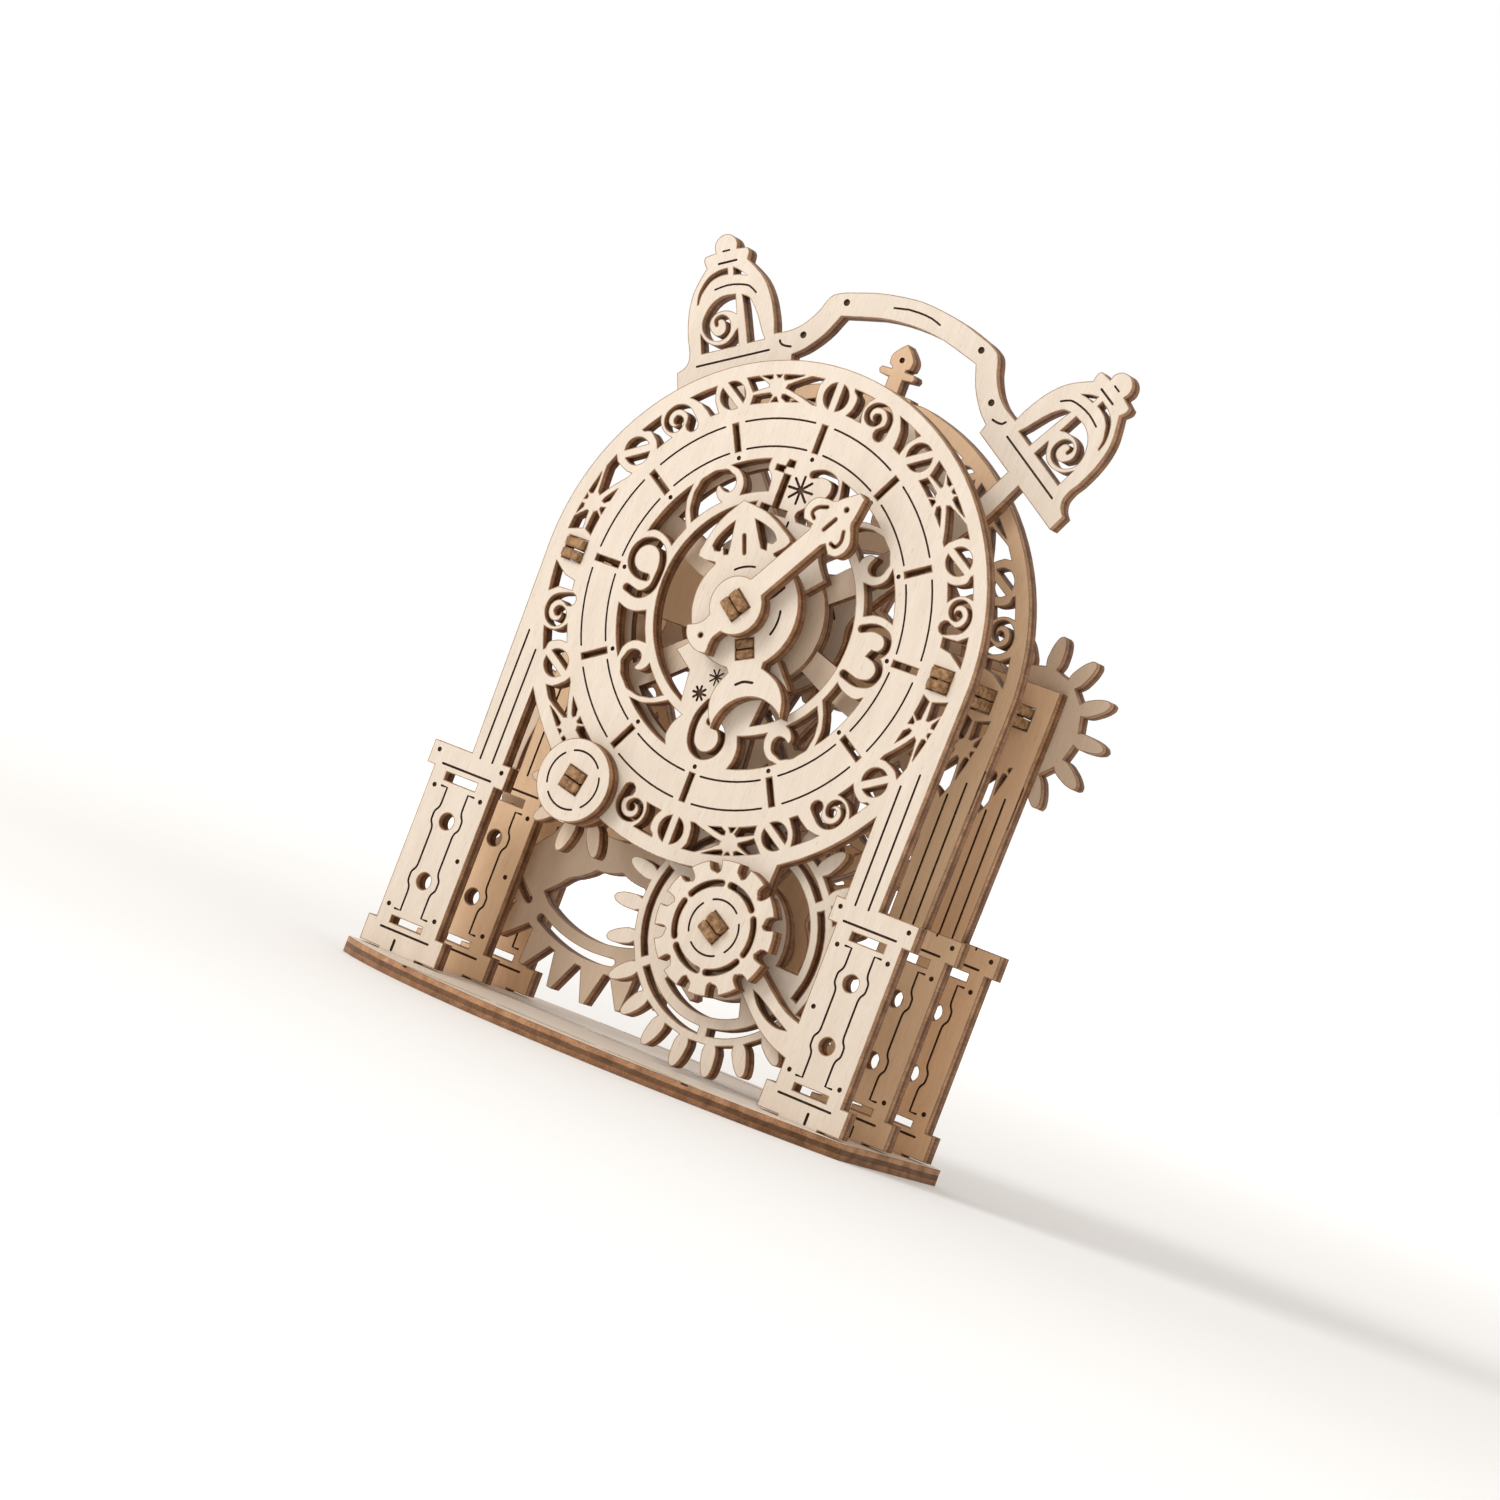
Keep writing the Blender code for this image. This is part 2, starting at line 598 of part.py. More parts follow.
def frame_pins():
    """The two fixed side pins that hold the plates apart, and the rocker's stop."""
    split_pin("left_side_pin", PIN, -0.9, 31.2, (-SIDE_PIN_X, 0.0), 0)
    split_pin("right_side_pin", PIN, -0.9, 34.2, (SIDE_PIN_X, 0.0), 0)
    stop = (0.0, STOP_PIN_Z)
    strip("rocker_stop_pin", STOP_PIN, STOP_PIN, 11.2, 17.4, stop, 0, stop)


def crank():
    """The small gear that turns freely on the right side pin's rear end."""
    axis = (SIDE_PIN_X, 0.0)
    wheel("crank_gear", crank_set_gear(12), TIP["crank"], axis, Y_R1, [bore()])


clear_scene()
PARTS = collection("plywood_alarm_clock_kit")
base_plate()
front_plate()
middle_plate()
rear_plate()
frame_pins()
bell_rocker()
hour_train()
minute_train()
drive_train()
knob_train()
crank()
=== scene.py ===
import json
import math

import bmesh
import bpy
import numpy as np
from mathutils import Matrix, Vector
from mathutils.geometry import delaunay_2d_cdt

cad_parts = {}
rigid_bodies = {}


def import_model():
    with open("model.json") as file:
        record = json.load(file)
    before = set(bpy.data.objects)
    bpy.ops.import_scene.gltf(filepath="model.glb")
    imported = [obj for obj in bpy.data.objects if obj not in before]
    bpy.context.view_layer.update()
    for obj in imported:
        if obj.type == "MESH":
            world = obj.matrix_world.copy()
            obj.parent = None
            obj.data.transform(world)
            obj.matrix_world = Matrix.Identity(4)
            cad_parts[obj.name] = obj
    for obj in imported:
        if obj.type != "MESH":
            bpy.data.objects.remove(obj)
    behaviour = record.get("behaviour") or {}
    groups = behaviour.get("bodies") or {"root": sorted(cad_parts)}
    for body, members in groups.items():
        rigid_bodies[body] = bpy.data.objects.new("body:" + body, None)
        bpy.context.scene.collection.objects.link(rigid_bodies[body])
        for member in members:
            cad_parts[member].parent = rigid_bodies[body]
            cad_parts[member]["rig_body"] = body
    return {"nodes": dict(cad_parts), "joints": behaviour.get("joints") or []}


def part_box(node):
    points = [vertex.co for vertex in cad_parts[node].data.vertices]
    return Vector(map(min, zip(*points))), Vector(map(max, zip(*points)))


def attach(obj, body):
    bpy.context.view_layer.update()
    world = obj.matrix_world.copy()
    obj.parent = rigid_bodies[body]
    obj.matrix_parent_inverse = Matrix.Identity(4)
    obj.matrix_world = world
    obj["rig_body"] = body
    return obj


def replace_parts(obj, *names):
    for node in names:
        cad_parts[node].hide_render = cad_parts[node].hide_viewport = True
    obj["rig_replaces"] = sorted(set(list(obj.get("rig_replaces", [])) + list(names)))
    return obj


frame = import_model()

# The laser-cut clock kit is drawn on a grid of 1.3 mm squares. Drawings are (x, z) points about the
# dial's centre, and turns are degrees clockwise from twelve o'clock.
GRID = 0.0013
MM = 0.001
MICRON = 1e-6
SHARP = math.radians(32)

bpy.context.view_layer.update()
JOINT = {joint["name"]: Vector(joint["pos_m"]) for joint in frame["joints"]}
FACE_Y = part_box("front_plate")[0].y
DIAL = Vector((JOINT["minute_turn"].x, FACE_Y, JOINT["minute_turn"].z))


def on_grid(place):
    """A place in metres as a drawing point about the dial."""
    return ((place.x - DIAL.x) / GRID, (place.z - DIAL.z) / GRID)


DRIVE = on_grid(JOINT["drive_turn"])
KNOB = on_grid(JOINT["knob_turn"])


# ---------------------------------------------------------------- drawing

LOOP_STEP = 2.5  # degrees between the points of a loop that follows a circle
LONG_LEG = 2.5  # a leg this many times its neighbour stays straight
OUTLINE_CORNER, OUTLINE_STEP = 48.0, 4.0  # degrees that count as a corner, and per piece of a curve
PEN_CORNER, PEN_STEP = 78.0, 8.0
PEN_END = 5  # steps round a pen line's end
LEAST_BEND = 1.5
SHORTEST_PIECE = 0.12
MOST_PIECES = 12


def polar(radius, turn, about=(0.0, 0.0)):
    angle = math.radians(turn)
    return (about[0] + radius * math.sin(angle), about[1] + radius * math.cos(angle))


def turned(points, turn):
    """The points turned clockwise about the dial's centre."""
    c, s = math.cos(math.radians(turn)), math.sin(math.radians(turn))
    return [(x * c + z * s, z * c - x * s) for x, z in points]


def mirrored(points):
    return [(-x, z) for x, z in points]


def both_sides(shapes):
    return shapes + [mirrored(shape) for shape in shapes]


def arc(radius, start, stop, about=(0.0, 0.0), step=3.0):
    count = max(2, math.ceil(abs(stop - start) / step))
    turns = [start + (stop - start) * i / count for i in range(count + 1)]
    return [polar(radius, turn, about) for turn in turns]


def disc(about, radius, sides=10):
    return [polar(radius, 360 * i / sides, about) for i in range(sides)]


def rectangle(x0, z0, x1, z1):
    return [(x0, z0), (x1, z0), (x1, z1), (x0, z1)]


def ring_slot(radius, half_width, start, stop, about=(0.0, 0.0)):
    """A slot that follows a circle, with round ends."""
    return stroke(arc(radius, start, stop, about), 2 * half_width, curved=False)


def ring_slots(about, radius, half_width, first, every, reach, count):
    """Slots round a wheel, each reaching as far before as after its middle."""
    middles = [first + every * k for k in range(count)]
    return [ring_slot(radius, half_width, middle - reach, middle + reach, about) for middle in middles]


def polar_loop(corners, base=0.0, about=(0.0, 0.0)):
    """A loop given as (turn, radius) corners, whose long sides follow the circle."""
    loop = []
    for (turn, radius), (next_turn, next_radius) in zip(corners, corners[1:] + corners[:1]):
        count = max(1, math.ceil(abs(next_turn - turn) / LOOP_STEP))
        for i in range(count):
            share = i / count
            between = radius + (next_radius - radius) * share
            loop.append(polar(between, base + turn + (next_turn - turn) * share, about))
    return loop


def tangents(points, closed, corner):
    """The directions in which a smooth line through the points arrives at and leaves each of them."""
    pts = np.array(points, float)
    legs = np.roll(pts, -1, axis=0) - pts
    if not closed:
        legs[-1] = legs[-2]
    sizes = np.maximum(np.hypot(legs[:, 0], legs[:, 1]), 1e-9)
    ways = legs / sizes[:, None]
    arrive, leave = [], []
    for i in range(len(pts)):
        last = i - 1 if closed or i else 0
        a, b = ways[last], ways[i]
        size_a, size_b = sizes[last], sizes[i]
        turn = math.degrees(abs(math.atan2(a[0] * b[1] - a[1] * b[0], a.dot(b))))
        if turn > corner:
            arrive.append(a)
            leave.append(b)
            continue
        if size_a > LONG_LEG * size_b:
            way = a
        elif size_b > LONG_LEG * size_a:
            way = b
        else:
            way = a * size_b + b * size_a
            way = way / np.linalg.norm(way)
        arrive.append(way)
        leave.append(way)
    return pts, sizes, arrive, leave


def degrees_between(a, b):
    return math.degrees(math.acos(max(-1.0, min(1.0, float(a.dot(b))))))


def curved_line(points, closed=True, step=OUTLINE_STEP, corner=OUTLINE_CORNER):
    """The points with a smooth curve between those that turn little, and corners left sharp."""
    pts, sizes, arrive, leave = tangents(points, closed, corner)
    count = len(pts)
    line = []
    for i in range(count if closed else count - 1):
        p, q = pts[i], pts[(i + 1) % count]
        m, n = leave[i], arrive[(i + 1) % count]
        bend = max(degrees_between(m, n), 2 * degrees_between(m, (q - p) / sizes[i]))
        wanted = min(math.ceil(bend / step), math.ceil(sizes[i] / SHORTEST_PIECE), MOST_PIECES)
        pieces = 1 if bend < LEAST_BEND else max(1, wanted)
        for k in range(pieces):
            t = k / pieces
            h = (2 * t**3 - 3 * t**2 + 1, t**3 - 2 * t**2 + t, 3 * t**2 - 2 * t**3, t**3 - t**2)
            line.append(h[0] * p + h[1] * sizes[i] * m + h[2] * q + h[3] * sizes[i] * n)
    if not closed:
        line.append(pts[-1])
    return pairs(line)


def pairs(spots):
    return [(float(x), float(z)) for x, z in spots]


def run_along(line):
    """How far along the line each of its points lies."""
    return np.concatenate([[0], np.cumsum(np.hypot(*np.diff(line, axis=0).T))])


def stroke(points, width, curved=True):
    """The outline of a pen line with round ends. A list of widths makes it swell."""
    widths = width if isinstance(width, list) else [width] * len(points)
    fine = points
    if curved and len(points) > 2:
        fine = curved_line(points, closed=False, step=PEN_STEP, corner=PEN_CORNER)
    line = np.array(fine, float)
    run, fine_run = run_along(np.array(points, float)), run_along(line)
    wide = np.interp(fine_run / fine_run[-1], run / run[-1], widths) / 2
    ways = np.gradient(line, axis=0)
    ways /= np.maximum(np.hypot(ways[:, 0], ways[:, 1]), 1e-9)[:, None]
    side = np.stack([-ways[:, 1], ways[:, 0]], axis=1) * wide[:, None]
    angles = [k * math.pi / PEN_END for k in range(1, PEN_END)]
    ends = []
    for at, sign in ((-1, 1), (0, -1)):
        away, across = ways[at] * wide[at] * sign, side[at] * sign
        ends.append([line[at] + across * math.cos(angle) + away * math.sin(angle) for angle in angles])
    return pairs(list(line + side) + ends[0] + list((line - side)[::-1]) + ends[1])


def offset(loop, gap):
    """The loop moved to its right by a gap, with its corners held short."""
    folded, shortest = 0.3, 0.6
    pts = np.array(loop, float)
    before, after = pts - np.roll(pts, 1, axis=0), np.roll(pts, -1, axis=0) - pts
    before /= np.maximum(np.hypot(*before.T), 1e-9)[:, None]
    after /= np.maximum(np.hypot(*after.T), 1e-9)[:, None]
    way = before + after
    size = np.hypot(*way.T)
    way = np.where(size[:, None] < folded, after, way / np.maximum(size, 1e-9)[:, None])
    reach = gap / np.clip(size / 2, shortest, 1)
    return pairs(pts + np.stack([way[:, 1], -way[:, 0]], axis=1) * reach[:, None])


def area(loop):
    pts = np.array(loop, float)
    nxt = np.roll(pts, -1, axis=0)
    return float((pts[:, 0] * nxt[:, 1] - pts[:, 1] * nxt[:, 0]).sum() / 2)


def around(loop):
    """The loop, run counterclockwise."""
    return loop[::-1] if area(loop) < 0 else loop


def centre(loop):
    pts = np.array(loop, float)
    return float(pts[:, 0].mean()), float(pts[:, 1].mean())


def distance(a, b):
    return math.hypot(a[0] - b[0], a[1] - b[1])


# ---------------------------------------------------------------- CAD outlines

FACING = 0.9
SAME_LEVEL = 10 * MICRON
STRAIGHT = math.radians(0.4)


def face_edges(mesh, up):
    """For each corner of the sheet's face, in microns, the corners that its boundary edges run to."""
    level = max(vertex.co.dot(up) for vertex in mesh.vertices)
    edges = {}
    for polygon in mesh.polygons:
        if polygon.normal.dot(up) < FACING or level - polygon.center.dot(up) > SAME_LEVEL:
            continue
        corners = [tuple(round(c / MICRON) for c in mesh.vertices[i].co) for i in polygon.vertices]
        for a, b in zip(corners, corners[1:] + corners[:1]):
            if a in edges.get(b, ()):
                edges[b].remove(a)
            else:
                edges.setdefault(a, []).append(b)
    return edges


def cad_loops(node, flat=False):
    """The outline and then the holes of a flat CAD piece, read from its front face, or its top."""
    edges = face_edges(frame["nodes"][node].data, Vector((0, 0, 1)) if flat else Vector((0, -1, 0)))
    drawn = []
    while any(edges.values()):
        start = next(a for a, ends in edges.items() if ends)
        loop, at = [], start
        while edges.get(at):
            loop.append(at)
            at = edges[at].pop()
            if at == start:
                break
        if flat:
            points = [((x * MICRON - DIAL.x) / GRID, (y * MICRON - DIAL.y) / GRID) for x, y, _ in loop]
        else:
            points = [on_grid(Vector(corner) * MICRON) for corner in loop]
        drawn.append(without_straight(points))
    return sorted(drawn, key=lambda loop: -abs(area(loop)))


def without_straight(points):
    """The loop without the points that lie along its straight stretches."""
    kept = []
    for i, (x, z) in enumerate(points):
        (px, pz), (nx, nz) = points[i - 1], points[(i + 1) % len(points)]
        a, b = (x - px, z - pz), (nx - x, nz - z)
        turn = math.atan2(a[0] * b[1] - a[1] * b[0], a[0] * b[0] + a[1] * b[1])
        if abs(turn) > STRAIGHT:
            kept.append((x, z))
    return kept


# ---------------------------------------------------------------- materials

SHEET_MM = 2.6
MIX_A, MIX_B, MIX_RESULT = 6, 7, 2


def node_tree(name):
    material = bpy.data.materials.new(name)
    material.use_nodes = True
    nodes, links = material.node_tree.nodes, material.node_tree.links
    return material, nodes, links, nodes["Principled BSDF"]


def noise(nodes, links, stretch, detail=3.0):
    """Noise on the piece's own coordinates, with its cells per metre along x, y and z."""
    where = nodes.new("ShaderNodeTexCoord")
    mapping = nodes.new("ShaderNodeMapping")
    mapping.inputs["Scale"].default_value = stretch
    texture = nodes.new("ShaderNodeTexNoise")
    texture.inputs["Scale"].default_value = 1.0
    texture.inputs["Detail"].default_value = detail
    texture.inputs["Roughness"].default_value = 0.55
    links.new(where.outputs["Object"], mapping.inputs["Vector"])
    links.new(mapping.outputs["Vector"], texture.inputs["Vector"])
    return texture.outputs["Fac"]


def ramp(nodes, links, value, stops):
    found = nodes.new("ShaderNodeValToRGB")
    band = found.color_ramp
    while len(band.elements) < len(stops):
        band.elements.new(0.5)
    for element, (at, colour) in zip(band.elements, stops):
        element.position = at
        element.color = (*colour, 1.0)
    links.new(value, found.inputs["Fac"])
    return found.outputs["Color"]


def multiplied(nodes, links, a, b):
    mix = nodes.new("ShaderNodeMix")
    mix.data_type = "RGBA"
    mix.blend_type = "MULTIPLY"
    mix.inputs["Factor"].default_value = 1.0
    links.new(a, mix.inputs[MIX_A])
    links.new(b, mix.inputs[MIX_B])
    return mix.outputs[MIX_RESULT]


def bump(nodes, links, shader, height, strength, relief):
    node = nodes.new("ShaderNodeBump")
    node.inputs["Strength"].default_value = strength
    node.inputs["Distance"].default_value = relief
    links.new(height, node.inputs["Height"])
    links.new(node.outputs["Normal"], shader.inputs["Normal"])


def shade(colour, by):
    return tuple(c * by for c in colour)


def face_wood(name, colour, along="z"):
    """Rotary-cut birch: fine streaks along the grain, broad soft bands and short pores."""
    material, nodes, links, shader = node_tree(name)

    def grain(across, down, detail):
        stretch = [down if axis == along else across for axis in "xyz"]
        return noise(nodes, links, stretch, detail)

    fine, broad, pores = grain(6400, 330, 4.0), grain(420, 60, 3.0), grain(4200, 700, 2.0)
    streaks = ramp(nodes, links, fine, [(0.3, shade(colour, 0.93)), (0.68, shade(colour, 1.04))])
    bands = ramp(nodes, links, broad, [(0.3, (0.96, 0.945, 0.925)), (0.7, (1.02, 1.02, 1.02))])
    dashes = ramp(nodes, links, pores, [(0.64, (1, 1, 1)), (0.76, (0.86, 0.81, 0.76))])
    toned = multiplied(nodes, links, multiplied(nodes, links, streaks, bands), dashes)
    links.new(toned, shader.inputs["Base Color"])
    rough = ramp(nodes, links, fine, [(0.3, (0.62, 0.62, 0.62)), (0.7, (0.5, 0.5, 0.5))])
    links.new(rough, shader.inputs["Roughness"])
    shader.inputs["Specular IOR Level"].default_value = 0.28
    bump(nodes, links, shader, fine, 0.22, 0.06 * MM)
    return material


def depth_in_sheet(nodes, links):
    """How deep in the sheet a point of the edge lies, from 0 to 1, with a little wobble."""
    depth = nodes.new("ShaderNodeAttribute")
    depth.attribute_name = "depth"
    shifted = nodes.new("ShaderNodeMath")
    shifted.operation = "MULTIPLY_ADD"
    shifted.inputs[1].default_value = 0.22
    links.new(noise(nodes, links, (260, 260, 260), 2.0), shifted.inputs[0])
    links.new(depth.outputs["Fac"], shifted.inputs[2])
    share = nodes.new("ShaderNodeMath")
    share.operation = "DIVIDE"
    share.inputs[1].default_value = SHEET_MM
    links.new(shifted.outputs[0], share.inputs[0])
    return share.outputs[0]


def edge_wood(name, burnt, bare):
    """The laser-cut edge of three-ply: two plies round a darker one, with the beam's streaks."""
    material, nodes, links, shader = node_tree(name)
    middle = shade(burnt, 0.55)
    stops = [(0.03, shade(burnt, 0.7)), (0.1, bare), (0.36, bare), (0.40, middle), (0.68, middle)]
    stops += [(0.72, burnt), (1.0, shade(burnt, 0.8))]
    plies = ramp(nodes, links, depth_in_sheet(nodes, links), stops)
    streaks = noise(nodes, links, (3800, 160, 3800))
    clouds = noise(nodes, links, (420, 420, 420))
    lines = ramp(nodes, links, streaks, [(0.3, (0.72, 0.7, 0.66)), (0.7, (1.12, 1.1, 1.08))])
    soot = ramp(nodes, links, clouds, [(0.32, (0.62, 0.58, 0.55)), (0.62, (1.08, 1.08, 1.08))])
    toned = multiplied(nodes, links, multiplied(nodes, links, plies, lines), soot)
    links.new(toned, shader.inputs["Base Color"])
    shader.inputs["Roughness"].default_value = 0.6
    shader.inputs["Specular IOR Level"].default_value = 0.22
    bump(nodes, links, shader, streaks, 0.45, 0.12 * MM)
    return material


def burnt_wood(name, dark, light, scale):
    """The floor of an engraved line, the singed rim of a cut, or a rubbed axle."""
    material, nodes, links, shader = node_tree(name)
    spots = noise(nodes, links, (scale, scale, scale))
    colour = ramp(nodes, links, spots, [(0.35, dark), (0.65, light)])
    links.new(colour, shader.inputs["Base Color"])
    shader.inputs["Roughness"].default_value = 0.7
    shader.inputs["Specular IOR Level"].default_value = 0.15
    bump(nodes, links, shader, spots, 0.3, 0.1 * MM)
    return material


BIRCH = (0.765, 0.672, 0.572)
# Painted shade: the wheels, pinions and gears inside the clock are the same birch as the front, made
# darker and browner to stand for the shade behind the front plate.
BIRCH_WITH_PAINTED_INNER_SHADE = (0.72, 0.575, 0.44)
# Painted shade: the middle and rear plates are the same birch as the front, made darker and warmer to
# stand for the shade and warm bounced light between the plates.
BIRCH_WITH_PAINTED_RECESS_SHADE = (0.80, 0.565, 0.365)
EDGE = edge_wood("laser_cut_edge", (0.34, 0.175, 0.09), (0.50, 0.275, 0.15))
MARK = burnt_wood("engraved_line", (0.055, 0.026, 0.016), (0.13, 0.064, 0.037), 1800)
RIM = burnt_wood("singed_rim", (0.30, 0.19, 0.12), (0.46, 0.32, 0.21), 900)
PIN_WOOD = burnt_wood("split_pin", (0.17, 0.085, 0.04), (0.42, 0.25, 0.125), 1100)
FACE_SLOT, WALL_SLOT, MARK_SLOT, RIM_SLOT = range(4)
PALE = [face_wood("birch_face", BIRCH), EDGE, MARK, RIM]
# Birch face with painted shade, for the pieces inside the clock.
WOOD_WITH_PAINTED_INNER_SHADE = [face_wood("birch_face_painted_inner_shade", BIRCH_WITH_PAINTED_INNER_SHADE), EDGE, MARK, RIM]
# Birch face with painted shade and painted warm bounced light, for the plates behind the front one.
WOOD_WITH_PAINTED_RECESS_SHADE = [face_wood("birch_face_painted_recess_shade", BIRCH_WITH_PAINTED_RECESS_SHADE), EDGE, MARK, RIM]
FLAT = [face_wood("base_birch_face", BIRCH, along="x"), EDGE, MARK, RIM]


# ---------------------------------------------------------------- the laser-cut sheet

VOID, WOOD, MARKED, SCORCHED, RECESSED = range(5)
# How far below the face each kind of surface lies.
LEVEL_MM = {WOOD: 0.0, SCORCHED: 0.0, MARKED: 0.35, RECESSED: 1.1}
SLOT = {WOOD: FACE_SLOT, RECESSED: FACE_SLOT, MARKED: MARK_SLOT, SCORCHED: RIM_SLOT}
SCORCH = 0.11
WELD = 1e-5
TEST_AT_ONCE = 2000


def inside(points, loop):
    """Which points lie inside a loop, counting what it goes round."""
    pts = np.array(loop, float)
    nxt = np.roll(pts, -1, axis=0)
    low, high = pts.min(axis=0), pts.max(axis=0)
    near = np.where(((points >= low) & (points <= high)).all(axis=1))[0]
    found = np.zeros(len(points), bool)
    for first in range(0, len(near), TEST_AT_ONCE):
        some = near[first : first + TEST_AT_ONCE]
        px, pz = points[some, 0][:, None], points[some, 1][:, None]
        run, rise = nxt[:, 0] - pts[:, 0], nxt[:, 1] - pts[:, 1]
        side = run * (pz - pts[:, 1]) - (px - pts[:, 0]) * rise
        up = (pts[:, 1] <= pz) & (nxt[:, 1] > pz) & (side > 0)
        down = (pts[:, 1] > pz) & (nxt[:, 1] <= pz) & (side < 0)
        found[some] = (up.sum(axis=1) - down.sum(axis=1)) != 0
    return found


def triangulated(outer, through, marks, proud=()):
    """Triangles that fit every line of the drawing, and what each of them is."""
    inset = offset(outer, -SCORCH)
    swollen = [offset(loop, SCORCH) for loop in through]
    points, edges = [], []
    for loop in [outer, *through, *marks, inset, *swollen, *proud]:
        first = len(points)
        points += [Vector(p) for p in loop]
        edges += [(first + i, first + (i + 1) % len(loop)) for i in range(len(loop))]
    found = delaunay_2d_cdt(points, edges, [], 0, WELD, False)
    spots = np.array([tuple(v) for v in found[0]], float)
    faces = np.array([f for f in found[2] if len(f) == 3], int)
    a, b, c = (spots[faces[:, i]] for i in range(3))
    doubled = (b[:, 0] - a[:, 0]) * (c[:, 1] - a[:, 1]) - (b[:, 1] - a[:, 1]) * (c[:, 0] - a[:, 0])
    faces[doubled < 0] = faces[doubled < 0][:, ::-1]
    middles = (a + b + c) / 3
    kind = np.full(len(faces), VOID)
    solid = inside(middles, outer)
    kind[solid] = SCORCHED
    kind[solid & inside(middles, inset)] = WOOD
    for loop in swollen:
        kind[solid & inside(middles, loop)] = SCORCHED
    for loop in marks:
        kind[solid & inside(middles, loop)] = MARKED
    for loop in proud:
        kind[solid & ~inside(middles, loop)] = RECESSED
    for loop in through:
        kind[inside(middles, loop)] = VOID
    return spots, faces, kind


def smooth(mesh):
    mesh.shade_smooth()
    mesh.set_sharp_from_angle(angle=SHARP)


def sheet_mesh(name, drawing, place, thickness):
    """The closed body of a flat sheet: its two faces, its walls and the floors of its marks."""
    spots, faces, kind = drawing
    places, depths, index = [], [], {}

    def vertex(i, depth):
        key = (i, round(depth, 4))
        if key not in index:
            index[key] = len(places)
            places.append(place(spots[i], depth))
            depths.append(depth)
        return index[key]

    owner = {}
    for f, triangle in enumerate(faces):
        for k in range(3):
            owner[(triangle[k], triangle[(k + 1) % 3])] = f
    polygons, slots = [], []
    for f, triangle in enumerate(faces):
        if kind[f] == VOID:
            continue
        here = LEVEL_MM[kind[f]]
        polygons.append([vertex(i, here) for i in triangle])
        slots.append(SLOT[kind[f]])
        polygons.append([vertex(i, thickness) for i in triangle[::-1]])
        slots.append(RIM_SLOT if kind[f] == SCORCHED else FACE_SLOT)
        for k in range(3):
            a, b = triangle[k], triangle[(k + 1) % 3]
            other = owner.get((b, a))
            if other is None or kind[other] == VOID:
                foot, slot = thickness, WALL_SLOT
            elif LEVEL_MM[kind[other]] > here:
                foot = LEVEL_MM[kind[other]]
                slot = WALL_SLOT if kind[other] == RECESSED else MARK_SLOT
            else:
                continue
            polygons.append([vertex(a, here), vertex(a, foot), vertex(b, foot), vertex(b, here)])
            slots.append(slot)
    mesh = bpy.data.meshes.new(name)
    mesh.from_pydata(places, [], polygons)
    mesh.polygons.foreach_set("material_index", slots)
    layer = mesh.attributes.new("depth", "FLOAT", "POINT")
    layer.data.foreach_set("value", depths)
    smooth(mesh)
    return mesh


def add(obj):
    bpy.context.scene.collection.objects.link(obj)
    return obj


def put_on(node, mesh, materials):
    """A piece that stands for a CAD node and rides on its body."""
    obj = add(bpy.data.objects.new(mesh.name, mesh))
    for material in materials:
        mesh.materials.append(material)
    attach(obj, frame["nodes"][node]["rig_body"])
    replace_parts(obj, node)


def cut_sheet(node, cuts=(), marks=(), wood=PALE, keep=lambda hole: True, proud=()):
    """A piece cut from plywood, with its outline from the CAD and its own cuts and marks."""
    outline, *holes = cad_loops(node)
    low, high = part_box(node)
    through = [curved_line(hole) for hole in holes if keep(hole)] + list(cuts)
    shapes = [around(loop) for loop in through], [around(mark) for mark in marks]
    drawing = triangulated(around(curved_line(outline)), *shapes, proud)

    def place(spot, depth):
        return (DIAL.x + spot[0] * GRID, low.y + depth * MM, DIAL.z + spot[1] * GRID)

    put_on(node, sheet_mesh(node + "_cut", drawing, place, (high.y - low.y) / MM), wood)


# ---------------------------------------------------------------- the dial and its ring

HOURS = range(0, 360, 30)
RING_MID = 27.62
EYE_RADIUS = 1.75
EYE_BAR = 0.5
PIN_PADS = (90, 270)

LEAF = [
    (4.2, 29.3), (4.4, 29.0), (5.7, 28.5), (6.0, 27.6), (5.8, 26.8), (5, 26),
    (9.9, 26), (9, 26.8), (8.7, 27.6), (9.1, 28.6), (9.9, 29.3),
]
HORN = [
    (18.5, 29.35), (26, 29.35), (25.2, 28.4), (24.8, 27.6), (24.9, 26.8), (25.1, 26),
    (22.7, 26), (22.1, 26.9), (21, 28.1), (19.2, 29.1),
]
PAD_HORN = [(18.7, 29.3), (26, 29.3), (23, 27.5), (21.9, 26), (19.3, 26), (19.9, 28)]
SUNBURST = [
    [(34.3, 29.35), (37.5, 29.35), (40.2, 28.2), (40.2, 27.9), (35.8, 27.5)],
    [(35.9, 27.05), (40.7, 27.15), (41.4, 26.8), (40.3, 26), (35, 26)],
    [(38.2, 29.35), (41.1, 29.35), (41.2, 28.95), (40.4, 28.85)],
    [(42.2, 29.35), (43.7, 29.35), (43.2, 29), (42.6, 29)],
    [(44.4, 29.35), (50.2, 29.35), (46.5, 28.8), (44.6, 28.7), (44.2, 29.0)],
    [(41.1, 26), (43.3, 26), (42.7, 26.6), (42.1, 26.6)],
    [(44.3, 26.9), (45.2, 26.9), (49.6, 26.05), (45.6, 26), (44.2, 26.5)],
    [
        (45.2, 27.7), (45.6, 28.1), (51.8, 29.35), (55.3, 29.35), (54.4, 28.6), (54.25, 27.6),
        (54.4, 26.7), (55, 26), (53.8, 26),
    ],
]
